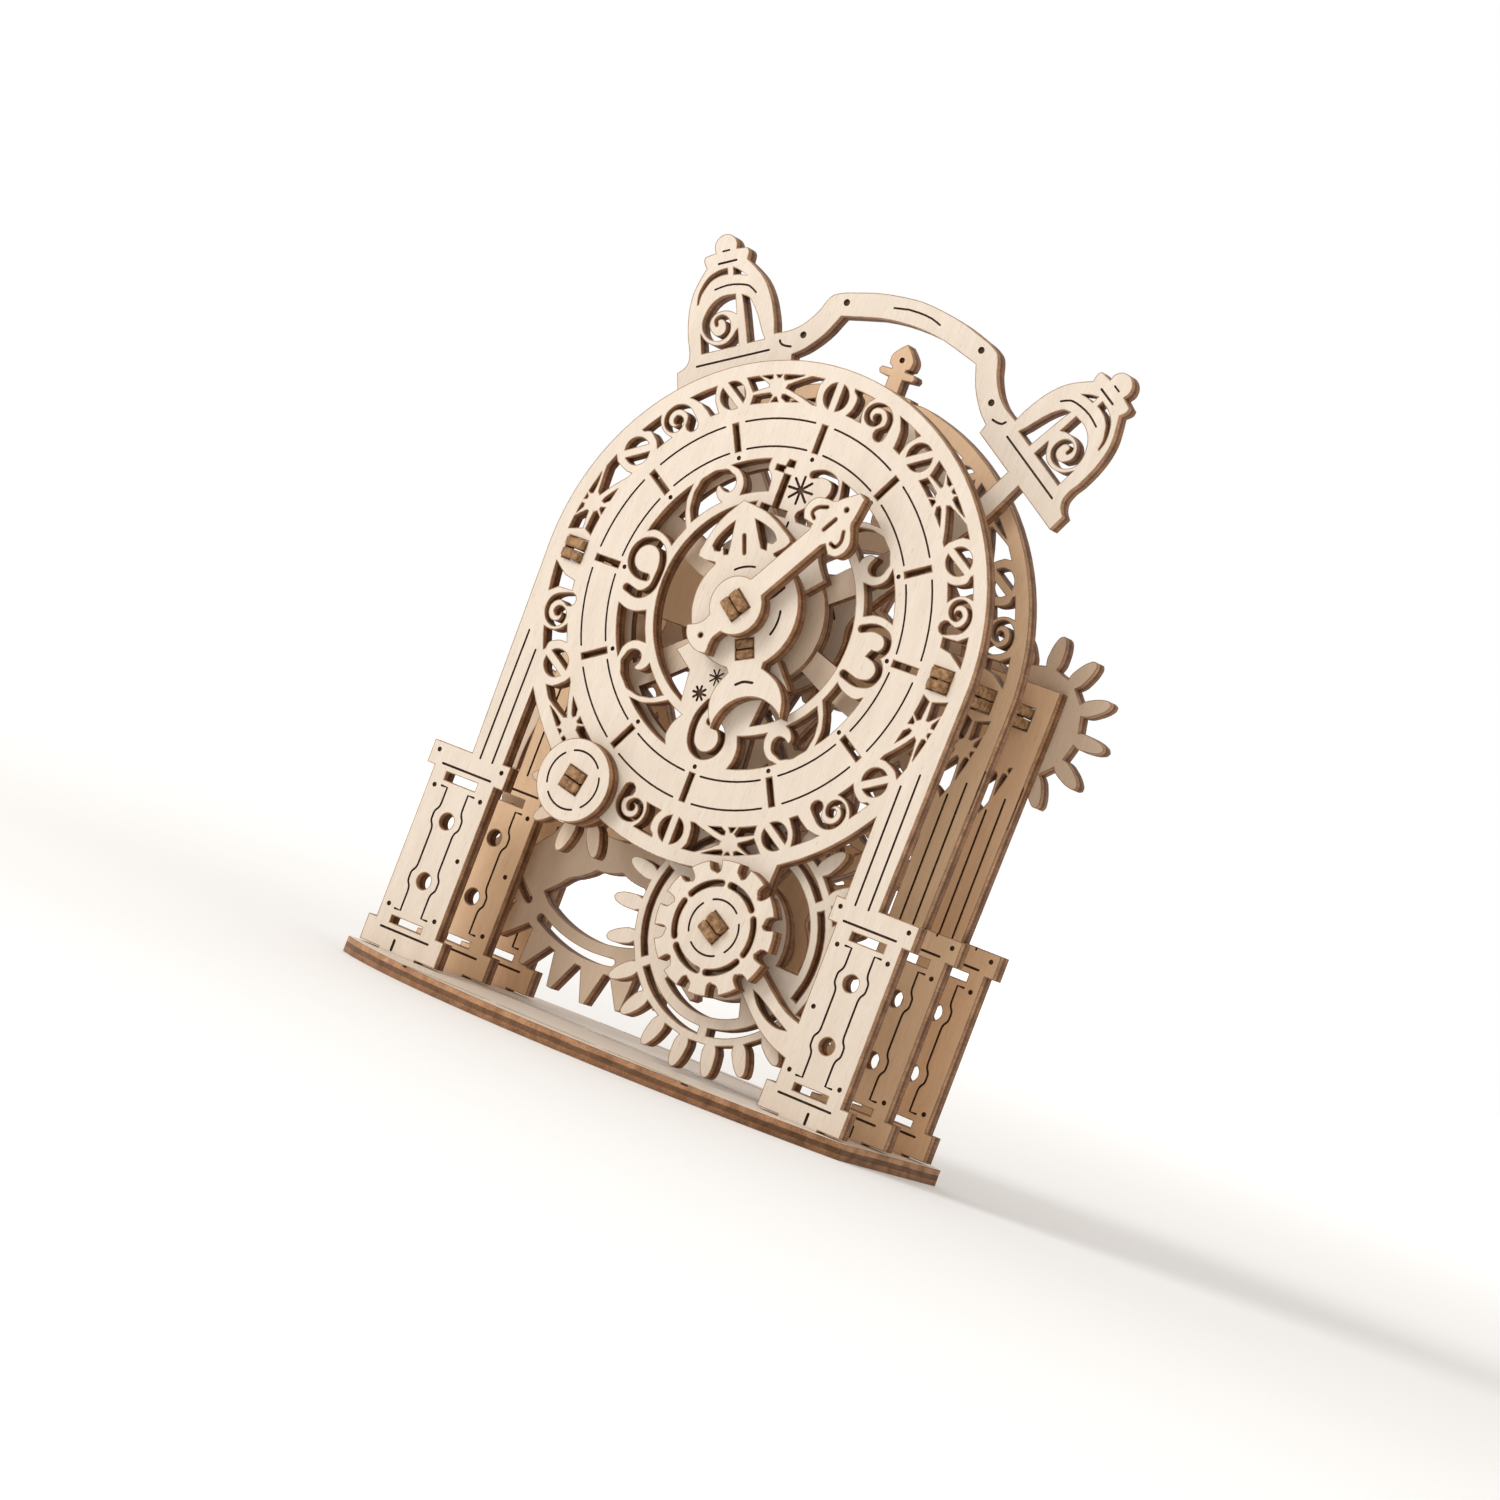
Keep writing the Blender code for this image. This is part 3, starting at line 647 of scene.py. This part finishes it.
# Curls are (x, z, pen width).
CURL = [
    (0.84, -1.6, 1.7), (1.16, -0.4, 0.8), (0.9, 0.6, 0.75), (0.24, 1.25, 0.6),
    (-0.82, 1.48, 0.5), (-1.78, 1.08, 0.55), (-2.26, 0.2, 0.65), (-1.98, -0.7, 0.7),
    (-1.25, -1.02, 0.65), (-0.53, -0.75, 0.6), (-0.34, -0.1, 0.6), (-0.65, 0.15, 0.7),
]
CURL_TURN = 15
CURL_EYE = (-0.82, -0.1)


def curl_widths(curl):
    return [width for _, _, width in curl]


def eye(turn):
    """A round hole in the ring with a slanting bar left across it."""
    about = polar(RING_MID, turn)
    start = math.degrees(math.asin(EYE_BAR / EYE_RADIUS))
    firsts = (2 * turn + start, 2 * turn + start + 180)
    return [arc(EYE_RADIUS, first, first + 180 - 2 * start, about, 12) for first in firsts]


def along_ring(point, turn):
    """A point of a small drawing whose x runs round the ring and whose z runs outward."""
    return polar(RING_MID + point[1], turn + math.degrees(point[0] / RING_MID))


def ring_ornament(wanted):
    """The scrolls, leaves, sunbursts and barred eyes cut through the dial's ring, where wanted."""
    cuts = []
    for base in range(0, 360, 60):
        horn = PAD_HORN if base + 30 in PIN_PADS else HORN
        cuts += [curved_line(polar_loop(LEAF, base)), polar_loop(horn, base)]
        cuts += [polar_loop(piece, base) for piece in SUNBURST]
        spiral = [along_ring(point, base + CURL_TURN) for point in CURL]
        cuts.append(stroke(spiral, curl_widths(CURL)))
        cuts.append(disc(along_ring(CURL_EYE, base + CURL_TURN), 0.5, 12))
    for turn in HOURS:
        if turn not in PIN_PADS:
            cuts += eye(turn)
    return [cut for cut in cuts if wanted(centre(cut))]


LEAF_BEFORE = [
    (15.5, 19), (40, 19), (35, 17.9), (31, 16.5), (27.4, 15),
    (17, 15), (18.2, 16), (18.4, 17), (17.5, 18.3),
]
LEAF_BEFORE_12 = [(15.5, 19), (40, 19), (35, 17.9), (31, 16.5), (27.4, 15), (18.5, 15), (19, 17.1)]
LEAF_BETWEEN = [
    (31.2, 15.1), (34.5, 16.7), (39, 18), (44, 18.9),
    (50, 19.05), (55, 18.6), (57.6, 17.5), (57.6, 16.7),
    (56, 16), (53.5, 15.85), (51.3, 16.3), (50.3, 17), (49.5, 17.15), (48.5, 16.9), (47.5, 16.2),
    (47.7, 15.5), (48.6, 15),
]
LEAF_AFTER = [
    (56.8, 19), (77, 19), (74.8, 17.8), (73.8, 16.5), (74.3, 15),
    (58.9, 15), (61, 16), (61.2, 17.2), (59.5, 18.3),
]
LEAF_AFTER_12 = [
    (56.8, 19), (73.5, 19), (72.5, 17.8), (74, 17), (73.7, 15),
    (58.9, 15), (61, 16), (61.2, 17.2), (59.5, 18.3),
]


def inner_openwork():
    """The leaf-shaped windows between the numerals."""
    cuts = []
    for base in range(0, 360, 90):
        first = LEAF_BEFORE_12 if base == 0 else LEAF_BEFORE
        last = LEAF_AFTER_12 if base == 270 else LEAF_AFTER
        cuts += [curved_line(polar_loop(piece, base)) for piece in (first, LEAF_BETWEEN, last)]
    return cuts


def asterisk(about, reach, width):
    """Four crossed strokes round a point."""
    lines = []
    for turn in (0, 45, 90, 135):
        lines.append(stroke([polar(reach, turn, about), polar(reach, turn + 180, about)], width))
    return lines


ONE_FLAG = [
    (-4.4, 17.1), (-3.15, 17.1), (-3.0, 17.9), (-2.0, 18.0),
    (-2.0, 18.8), (-2.95, 18.8), (-3.15, 17.9), (-4.4, 17.8),
]
ONE = [ONE_FLAG, rectangle(-2.95, 12.7, -2.0, 17.0), rectangle(-4.5, 12.0, -0.7, 12.8)]
TWO = [
    (0.9, 17.95), (2.0, 18.4), (3.1, 18.4), (4.1, 17.9),
    (4.45, 16.9), (4.1, 15.6), (2.6, 14.2), (1.1, 12.9),
    (1.0, 12.4), (4.6, 12.4),
]
THREE = [
    (14.8, 2.6), (16.5, 3.2), (18.6, 2.5), (18.9, 1.2),
    (18.2, 0.3), (16.9, 0.1), (18.2, -0.3), (19.1, -1.5),
    (18.6, -3), (17, -3.6), (14.6, -3.1),
]
SIX = [
    (-1.3, -11.8), (-2.0, -13.2), (-2.2, -15.5), (-1.6, -17.3),
    (0, -18.1), (1.6, -17.4), (2.2, -15.9),
    (1.4, -14.3), (-0.3, -13.9),
]
NINE = [
    (-16.1, -0.3), (-17.4, -0.3), (-18.8, 0.6), (-19.1, 2.2),
    (-18.3, 3.6), (-16.8, 4.1), (-15.4, 3.5),
    (-14.7, 2.2), (-14.6, 0.2), (-14.9, -1.4), (-16.2, -2.5), (-18.3, -2.2),
]
NUMERAL_PEN = 0.9
HOUR_TICK = rectangle(-0.4, 20.4, 0.4, 24.0)
HOUR_DOT_RADIUS = 19.6
RULE_RADII = (23.95, 20.5)
RULE_HALF, RULE_GAP = 0.125, 3.4


def dial_cuts():
    """The numerals and the twelve hour ticks."""
    cuts = [stroke(figure, NUMERAL_PEN) for figure in (TWO, THREE, NINE, SIX)]
    return cuts + ONE + [turned(HOUR_TICK, turn) for turn in HOURS]


def dial_marks():
    """A dot at each hour, two ruled circles broken at the ticks, and small stars."""
    marks = [disc(polar(HOUR_DOT_RADIUS, turn), 0.3) for turn in HOURS]
    for turn in HOURS:
        for radius in RULE_RADII:
            marks.append(ring_slot(radius, RULE_HALF, turn + RULE_GAP, turn + 30 - RULE_GAP))
    marks += asterisk((0, 15.7), 1.7, 0.34)
    marks.append(stroke([(0, 10.7), (0, 11.6)], 0.3))
    marks += asterisk((-1.6, -8.7), 1.0, 0.22)
    marks += asterisk((-3.1, -11.2), 0.9, 0.32)
    return marks


# ---------------------------------------------------------------- columns, strips and feet

COLUMN_HOLES = (-36.6, -44.5)
SWELL = [(0, 1.9), (0.12, 1.2), (0.5, 0.6), (0.55, 0), (0.5, -0.6), (0.12, -1.2), (0, -1.9)]
HOOK = 0.9
COLUMN_DOTS = [
    (25.6, -28.75), (35.4, -28.75), (27, -33), (34.25, -33),
    (27, -40.75), (27, -48.6), (34.25, -48.6),
]
STRIP_FOOT = -28.0
STRIP_STAGGER = 2


def column_marks():
    """The lines, hooks and dots burnt into the legs of each plate."""
    shapes = [
        stroke([(26.7, -30.2), (34.2, -30.2)], 0.3),
        stroke([(26.7, -51.5), (34.2, -51.5)], 0.3),
        stroke([(31.5, -52.6), (31.5, -53.8)], 0.4),
    ]
    for x, way in ((32.3, 1), (29.0, -1)):
        line = [(x + way * HOOK, -32.8), (x, -32.8)]
        for hole_z in COLUMN_HOLES:
            line += [(x + way * out, hole_z + up) for out, up in SWELL]
        line += [(x, -48.9), (x + way * HOOK, -48.9)]
        shapes.append(stroke(line, 0.28))
    shapes += [disc(dot, 0.32) for dot in COLUMN_DOTS]
    return both_sides(shapes)


def strip_marks(xs, top):
    """Upright lines from the arch down to the column, each a little lower than the one outside it."""
    lines = [stroke([(x, top - STRIP_STAGGER * k), (x, STRIP_FOOT)], 0.28) for k, x in enumerate(xs)]
    return both_sides(lines)


# ---------------------------------------------------------------- bells and handle

BELL_FOOT = (21.18, 26.2)
BELL_LEAN = 29.5
BELL_SHIFT = 0.1
ROCKER_TILT = 1.65

BELL_RIBBON = [
    (-4.55, 3.9), (-4.25, 5), (-3.85, 7), (-3.25, 8.8), (-2.75, 9.7), (-1.85, 10.25), (-1.95, 9.5),
    (-2.05, 8), (-2.2, 3.9),
]
BELL_CRESCENT = [
    (-0.9, 8.0), (-0.9, 10.5), (0.9, 10.6), (2.2, 10.1),
    (3.3, 9.0), (3.9, 7.8), (3.95, 7.0), (3.6, 6.1),
    (2.9, 5.5), (2.45, 5.95), (2.85, 6.6), (2.95, 7.4),
    (2.6, 8.1), (1.8, 8.65), (0.8, 8.75), (-0.2, 8.45),
]
BELL_CURL = [
    (3.5, 7.2, 0.95), (3.2, 6.2, 0.8), (2.3, 5.45, 0.6), (1.3, 5.35, 0.6), (0.5, 5.95, 0.65),
    (0.35, 6.8, 0.6), (0.6, 7.6, 0.55), (1.3, 8.0, 0.5), (1.95, 7.7, 0.5), (1.95, 7.1, 0.4),
]
BELL_BASIN = [
    (-0.95, 6), (-0.95, 3.85), (4.3, 3.85), (4.3, 6.4),
    (3.7, 5.4), (2.8, 4.7), (1.8, 4.4), (0.8, 4.5),
    (-0.1, 5.1), (-0.7, 5.8),
]
BELL_TOP_LEFT = [(-2.7, 12.6), (-1.8, 13.4), (-0.85, 14.05), (-0.85, 13.1), (-1.7, 12.95)]
BELL_TOP_RIGHT = [
    (0, 14.1), (1.3, 14.0), (2.6, 13.5), (3.7, 12.4),
    (4.3, 11.3), (4.5, 10.3), (4.35, 10.3), (4.0, 11.2),
    (3.3, 12.1), (2.4, 12.9), (1.3, 13.3), (0, 13.35),
]


def on_bell(points, side):
    """Bell drawings run across and along the bell's axis, and the left bell mirrors the right one."""
    lean = math.radians(BELL_LEAN)
    spots = []
    for across, along in points:
        along += BELL_SHIFT
        x = BELL_FOOT[0] + across * math.cos(lean) + along * math.sin(lean)
        z = BELL_FOOT[1] - across * math.sin(lean) + along * math.cos(lean)
        spots.append((side * x, z))
    return turned(spots, ROCKER_TILT)


def bell_cuts(side):
    windows = [BELL_RIBBON, BELL_CRESCENT, BELL_BASIN, BELL_TOP_LEFT, BELL_TOP_RIGHT]
    cuts = [curved_line(window) for window in windows]
    cuts.append(stroke([(across, along) for across, along, _ in BELL_CURL], curl_widths(BELL_CURL)))
    return [on_bell(cut, side) for cut in cuts]


def bell_marks(side):
    lines = [
        stroke([(-3.8, 10.1), (-3.0, 11.1), (-1.6, 11.65), (0.2, 11.9), (1.9, 11.7)], 0.26),
        stroke([(-1.35, 14.9), (1.15, 14.9)], 0.3),
        stroke([(-0.45, 16.4), (0.45, 16.4)], 0.25),
        stroke([(-5.1, 2.35), (5.1, 2.35)], 0.28),
    ]
    return [on_bell(line, side) for line in lines]


def handle_marks():
    hook = [(15.2, 32.15), (16.0, 32.0), (16.7, 32.1), (17.0, 32.4)]
    dots = [disc(about, 0.45, 12) for about in ((10.1, 39.5), (14.15, 34.0))]
    shapes = both_sides(dots + [stroke(hook, 0.3)])
    shapes.append(stroke([(-3.5, 40.8), (-1.5, 41.2), (0, 41.25), (2, 41.1), (3.4, 40.7)], 0.26))
    shapes.append(ring_slot(6.2, 0.14, -60, 60))
    return [turned(shape, ROCKER_TILT) for shape in shapes]


# ---------------------------------------------------------------- hands and wheels

MINUTE_TURN = 33.0
HOUR_TURN = -24.3

SPADE_LEAVES = [
    [
        (-5.65, 9.6), (-6.6, 8.2), (-7.3, 6.6), (-7.4, 5.9), (-6.9, 5.4), (-6.2, 5.5), (-5.9, 6.1),
        (-5.5, 5.3), (-4.95, 5.5), (-5.1, 6.5),
    ],
    [
        (-3.15, 10.6), (-1.5, 10.3), (0.2, 9.6), (0.7, 9.0), (0.4, 8.5), (-0.4, 8.4), (-0.1, 7.5),
        (-0.9, 7.5), (-2.0, 9.0),
    ],
]
CAD_LEAF_AREA = (6.7, 8.3)

RATCHET_TEETH = 12
RATCHET_PHASE = 8
RATCHET_GAP = 1.5

HOUR_HUB = 8.5
HOUR_RIM = 18.7
SPOKE_HALF = 1.5
SPOKE_TURN = -9
SPOKE_EVERY = 60

LENS = [
    (-35, 17.3), (-29, 17.6), (29, 17.6), (35, 17.3), (31, 13.4),
    (21, 10.2), (0, 8.7), (-21, 10.2), (-31, 13.4),
]
LENS_TURN = 179

FINIAL_SIDE = [
    (0.45, 38.5), (0.45, 37.6), (1.2, 36.9), (1.7, 36.0),
    (1.85, 35.2), (1.5, 34.55), (1.0, 34.3), (1.0, 34.1),
    (2.4, 34.05), (2.65, 33.6), (2.4, 33.15), (1.0, 33.05), (1.0, 31.3), (4.0, 31.1), (4.0, 38.5),
]


def minute_cuts():
    """A slit and two hooks in the minute hand's head, and a dot at each end."""
    hook = [(1.97, 16.07), (2.8, 14.95), (2.72, 14.18), (2.03, 13.96)]
    shapes = [disc((0, 17.85), 0.33), stroke([(0, 14.2), (0, 16.1)], 0.45), disc((0, -5.65), 0.33)]
    shapes += both_sides([stroke(hook, 0.4)])
    return [turned(shape, MINUTE_TURN) for shape in shapes]


def hour_cuts():
    """A slit between two leaf-shaped windows in the hour hand's spade."""
    slit = turned(stroke([(0, 6.9), (0, 9.1)], 0.45), HOUR_TURN)
    return [slit] + [curved_line(leaf) for leaf in SPADE_LEAVES]


def hour_marks():
    return [
        ring_slot(4.95, 0.16, 76, 111),
        ring_slot(5.2, 0.14, -39, -8),
        stroke([(2.8, 2.2), (3.4, 2.9), (4.15, 4.0)], 0.34),
        stroke([(2.6, -8.8), (3.4, -8.2), (4.7, -7.9)], 0.34),
    ]


def ratchet_cuts():
    """Six curved slots, and the round-bottomed gaps between the teeth."""
    cuts = ring_slots(DRIVE, 5.35, 0.38, 24.6, 60, 23.5, 6)
    for k in range(RATCHET_TEETH):
        turn = RATCHET_PHASE + 360 * k / RATCHET_TEETH
        cuts.append(stroke([polar(7.5, turn, DRIVE), polar(9.4, turn, DRIVE)], RATCHET_GAP))
    return cuts


def drive_windows():
    """The openings inside the drive wheel's rim, where the ratchet wheel doesn't cover them."""
    windows = []
    for first, last, inner, outer in ((18, 102, 7.4, 10.5), (148, 222, 8.0, 10.2)):
        corners = [(first, inner), (last, inner), (last - 3, outer), (first + 3, outer)]
        windows.append(polar_loop(corners, about=DRIVE))
    return windows


def hour_windows():
    """Six openings between the hour wheel's round hub, its spokes and its rim."""
    inner = math.degrees(math.asin(SPOKE_HALF / HOUR_HUB))
    outer = math.degrees(math.asin(SPOKE_HALF / HOUR_RIM))
    hub = HOUR_HUB + 0.05  # a ledge of the recessed wood, so that the hub's own wall stays whole
    corners = [(inner, hub), (SPOKE_EVERY - inner, hub)]
    corners += [(SPOKE_EVERY - outer, HOUR_RIM), (outer, HOUR_RIM)]
    return [polar_loop(corners, SPOKE_TURN + SPOKE_EVERY * k) for k in range(6)]


def centre_windows():
    """Four lens-shaped openings between broad arms, and eight slots that follow the rim."""
    cuts = [curved_line(polar_loop(LENS, LENS_TURN + 90 * k, KNOB)) for k in range(4)]
    return cuts + ring_slots(KNOB, 19.65, 0.5, 188.5, 45, 18, 8)


def finial_cuts():
    """What is cut away on both sides of the finial, which leaves a spade, a crossbar and a stem."""
    return both_sides([FINIAL_SIDE])


# ---------------------------------------------------------------- pieces

KNOB_BOSS = 5.3
FINIAL_FOOT = (0, 30)
FINIAL_CLEAR = 6
REAR_TOP = -5.2
DIAL_OPENING = (14.0, 19.5)
SMALL_HOLE = 12
HUB_HOLE = 50
KNOB_BORE = 3
FRONT_STRIPS = (29.3, 27.4)
DEEP_STRIPS = (32.9, 31.1, 29.3, 27.4)


def clear_of_knob(point):
    return distance(point, KNOB) > KNOB_BOSS


def clear_of_finial(point):
    return clear_of_knob(point) and distance(point, FINIAL_FOOT) > FINIAL_CLEAR


def on_rear_arch(point):
    return clear_of_knob(point) and point[1] < REAR_TOP


def kept_in_front(hole):
    """The CAD's plain dial windows give way to the carved ones; every other hole stays."""
    near, far = DIAL_OPENING
    return not (near < math.hypot(*centre(hole)) < far and abs(area(hole)) > SMALL_HOLE)


def kept_in_hour_hand(hole):
    smallest, largest = CAD_LEAF_AREA
    return not smallest <= abs(area(hole)) <= largest


def kept_in_centre_wheel(hole):
    return distance(centre(hole), KNOB) < KNOB_BORE


def kept_in_hour_wheel(hole):
    return abs(area(hole)) < HUB_HOLE


def make_plates():
    openwork = ring_ornament(clear_of_knob) + inner_openwork() + dial_cuts()
    marks = dial_marks() + column_marks() + strip_marks(FRONT_STRIPS, -11.2)
    cut_sheet("front_plate", openwork, marks, keep=kept_in_front)
    deep_marks = column_marks() + strip_marks(DEEP_STRIPS, -6.0)
    finial_dot = disc((0, 35.35), 0.38, 12)
    middle_cuts = ring_ornament(clear_of_finial) + finial_cuts()
    # The middle and rear plates wear birch with painted shade, darker and warmer than the front plate.
    cut_sheet("middle_plate", middle_cuts, deep_marks + [finial_dot], WOOD_WITH_PAINTED_RECESS_SHADE)
    cut_sheet("rear_plate", ring_ornament(on_rear_arch), deep_marks, WOOD_WITH_PAINTED_RECESS_SHADE)
    marks = bell_marks(1) + bell_marks(-1) + handle_marks()
    cut_sheet("bell_and_handle_plate", bell_cuts(1) + bell_cuts(-1), marks)


def make_hands_and_wheels():
    cut_sheet("minute_hand", minute_cuts())
    cut_sheet("hour_hand", hour_cuts(), hour_marks(), keep=kept_in_hour_hand)
    cut_sheet("ratchet_wheel", ratchet_cuts(), ring_slots(DRIVE, 3.4, 0.13, 8, 90, 33, 4))
    cut_sheet("knob_disc", (), ring_slots(KNOB, 3.65, 0.13, 14, 90, 35, 4))
    cut_sheet("drive_wheel", drive_windows())
    # The centre wheel and the hour wheel sit behind the front plate and wear birch with painted shade.
    cut_sheet("centre_wheel", centre_windows(), (), WOOD_WITH_PAINTED_INNER_SHADE, kept_in_centre_wheel)
    hub = disc((0, 0), HOUR_HUB, 90)
    cut_sheet("hour_wheel", hour_windows(), (), WOOD_WITH_PAINTED_INNER_SHADE, kept_in_hour_wheel, [hub])
    # So do the pinions, the crank gear and the minute wheel: birch with painted shade.
    for name in ("drive_collar", "knob_pinion", "crank_gear", "minute_pinion", "minute_wheel"):
        cut_sheet(name, wood=WOOD_WITH_PAINTED_INNER_SHADE)
    for name in ("minute_front_collar", "minute_middle_collar", "minute_rear_collar"):
        cut_sheet(name)


BASE_FRONT_LINES = (4.2, 5.6)
BASE_MIDDLE_LINES = (-1.6, 0, 1.6)
BASE_BACK_LINES = (-4.4, -3.2)
BASE_RUNS = ((-22, -9), (-7, 7), (9, 22))


def base_marks(edge):
    """Long burnt lines that follow the front, middle and back of the base."""
    front, back = min(y for _, y in edge), max(y for _, y in edge)
    rows = [front + gap for gap in BASE_FRONT_LINES]
    rows += [(front + back) / 2 + gap for gap in BASE_MIDDLE_LINES]
    rows += [back + gap for gap in BASE_BACK_LINES]
    return [stroke([(first, y), (last, y)], 0.36) for y in rows for first, last in BASE_RUNS]


def make_base():
    node = "base_plate"
    outline, *holes = cad_loops(node, flat=True)
    low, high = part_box(node)
    through = [around(curved_line(hole)) for hole in holes]
    drawing = triangulated(around(curved_line(outline)), through, base_marks(outline))

    def place(spot, depth):
        return (DIAL.x + spot[0] * GRID, DIAL.y + spot[1] * GRID, high.z - depth * MM)

    put_on(node, sheet_mesh(node + "_cut", drawing, place, (high.z - low.z) / MM), FLAT)


RUBBED = 0.18 * MM


def make_pins():
    """The axles and pins are split strips pushed through the holes, with rubbed corners."""
    done = {obj.get("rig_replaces")[0] for obj in bpy.data.objects if obj.get("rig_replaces")}
    for node in sorted(set(frame["nodes"]) - done):
        bm = bmesh.new()
        bm.from_mesh(frame["nodes"][node].data)
        bmesh.ops.remove_doubles(bm, verts=bm.verts, dist=MICRON)
        bmesh.ops.dissolve_limit(bm, angle_limit=math.radians(1), verts=bm.verts, edges=bm.edges)
        sharp = [edge for edge in bm.edges if edge.is_manifold and edge.calc_face_angle(0) > SHARP]
        bmesh.ops.bevel(bm, geom=sharp, offset=RUBBED, segments=2, affect="EDGES", clamp_overlap=True)
        bmesh.ops.triangulate(bm, faces=[face for face in bm.faces if len(face.verts) > 4])
        mesh = bpy.data.meshes.new(node + "_strip")
        bm.to_mesh(mesh)
        bm.free()
        smooth(mesh)
        put_on(node, mesh, [PIN_WOOD])


make_plates()
make_hands_and_wheels()
make_base()
make_pins()


# ---------------------------------------------------------------- stage, light and camera

FLOOR_REACH = 6.0
# Where the floor's painted glow starts and is full, and how strong it gets.
GLOW_STARTS, GLOW_FULL, GLOW = 0.12, 0.9, 0.42  # metres from the clock, and brightness
BACKDROP_WAY = Vector((-0.52, 0.85, 0.0))
ROOM_TONE = (0.70, 0.66, 0.61)
WHITE = (1.0, 1.0, 1.0)
KEY_PLACE = DIAL + Vector((-0.5, -0.7, 0.55))
KEY_SIZE = 0.45
KEY_WATTS = 4.9
LENS_MM = 125.385
CAMERA_AIM = (6.384, -15.418)  # the drawing point at the middle of the picture
CAMERA_DISTANCE = 619.78
AZIMUTH, ELEVATION, ROLL = math.radians(31.506), math.radians(-0.447), math.radians(20.940)


def grey(level):
    return (level, level, level)


def make_floor():
    """A pale floor with a painted glow that brightens away from the clock, until it meets the white
    backdrop.
    """
    bm = bmesh.new()
    bmesh.ops.create_grid(bm, x_segments=8, y_segments=8, size=FLOOR_REACH)
    mesh = bpy.data.meshes.new("floor")
    bm.to_mesh(mesh)
    bm.free()
    material, nodes, links, shader = node_tree("white_floor")
    clouds = noise(nodes, links, (3, 3, 3), 2.0)
    tone = ramp(nodes, links, clouds, [(0.3, grey(0.93)), (0.7, grey(0.95))])
    links.new(tone, shader.inputs["Base Color"])
    shader.inputs["Roughness"].default_value = 0.8
    where = nodes.new("ShaderNodeTexCoord")
    away = nodes.new("ShaderNodeVectorMath")
    away.operation = "LENGTH"
    links.new(where.outputs["Object"], away.inputs[0])
    # The painted glow: the floor emits light that grows with distance from the clock.
    stops = [(GLOW_STARTS, grey(0.0)), (GLOW_FULL, grey(GLOW))]
    glow = ramp(nodes, links, away.outputs["Value"], stops)
    links.new(glow, shader.inputs["Emission Color"])
    shader.inputs["Emission Strength"].default_value = 1.0
    mesh.materials.append(material)
    floor = add(bpy.data.objects.new("floor", mesh))


def make_key_light():
    data = bpy.data.lights.new("key", "AREA")
    data.shape = "DISK"
    data.size = KEY_SIZE
    data.energy = KEY_WATTS
    lamp = add(bpy.data.objects.new("key", data))
    lamp.location = KEY_PLACE
    lamp.rotation_euler = (DIAL - KEY_PLACE).to_track_quat("-Z", "Y").to_euler()


def make_room():
    """Soft light from all round, which turns white towards the backdrop."""
    world = bpy.data.worlds.new("studio")
    world.use_nodes = True
    nodes, links = world.node_tree.nodes, world.node_tree.links
    background = nodes["Background"]
    where = nodes.new("ShaderNodeTexCoord")
    towards = nodes.new("ShaderNodeVectorMath")
    towards.operation = "DOT_PRODUCT"
    towards.inputs[1].default_value = BACKDROP_WAY
    links.new(where.outputs["Generated"], towards.inputs[0])
    soft = ramp(nodes, links, towards.outputs["Value"], [(0.15, ROOM_TONE), (0.75, WHITE)])
    links.new(soft, background.inputs["Color"])
    background.inputs["Strength"].default_value = 1.0
    bpy.context.scene.world = world
    bpy.context.scene.view_settings.view_transform = "Standard"


def make_camera():
    data = bpy.data.cameras.new("camera")
    data.lens = LENS_MM
    data.sensor_width = 36
    data.clip_start = 0.01
    camera = add(bpy.data.objects.new("camera", data))
    level = math.cos(ELEVATION)
    back = Vector((math.sin(AZIMUTH) * level, -math.cos(AZIMUTH) * level, math.sin(ELEVATION)))
    aim = DIAL + Vector((CAMERA_AIM[0], 0, CAMERA_AIM[1])) * GRID
    turn = back.to_track_quat("Z", "Y").to_matrix().to_4x4() @ Matrix.Rotation(ROLL, 4, "Z")
    camera.matrix_world = Matrix.Translation(aim + back * CAMERA_DISTANCE * GRID) @ turn
    bpy.context.scene.camera = camera


make_floor()
make_room()
make_key_light()
make_camera()

bpy.context.view_layer.update()
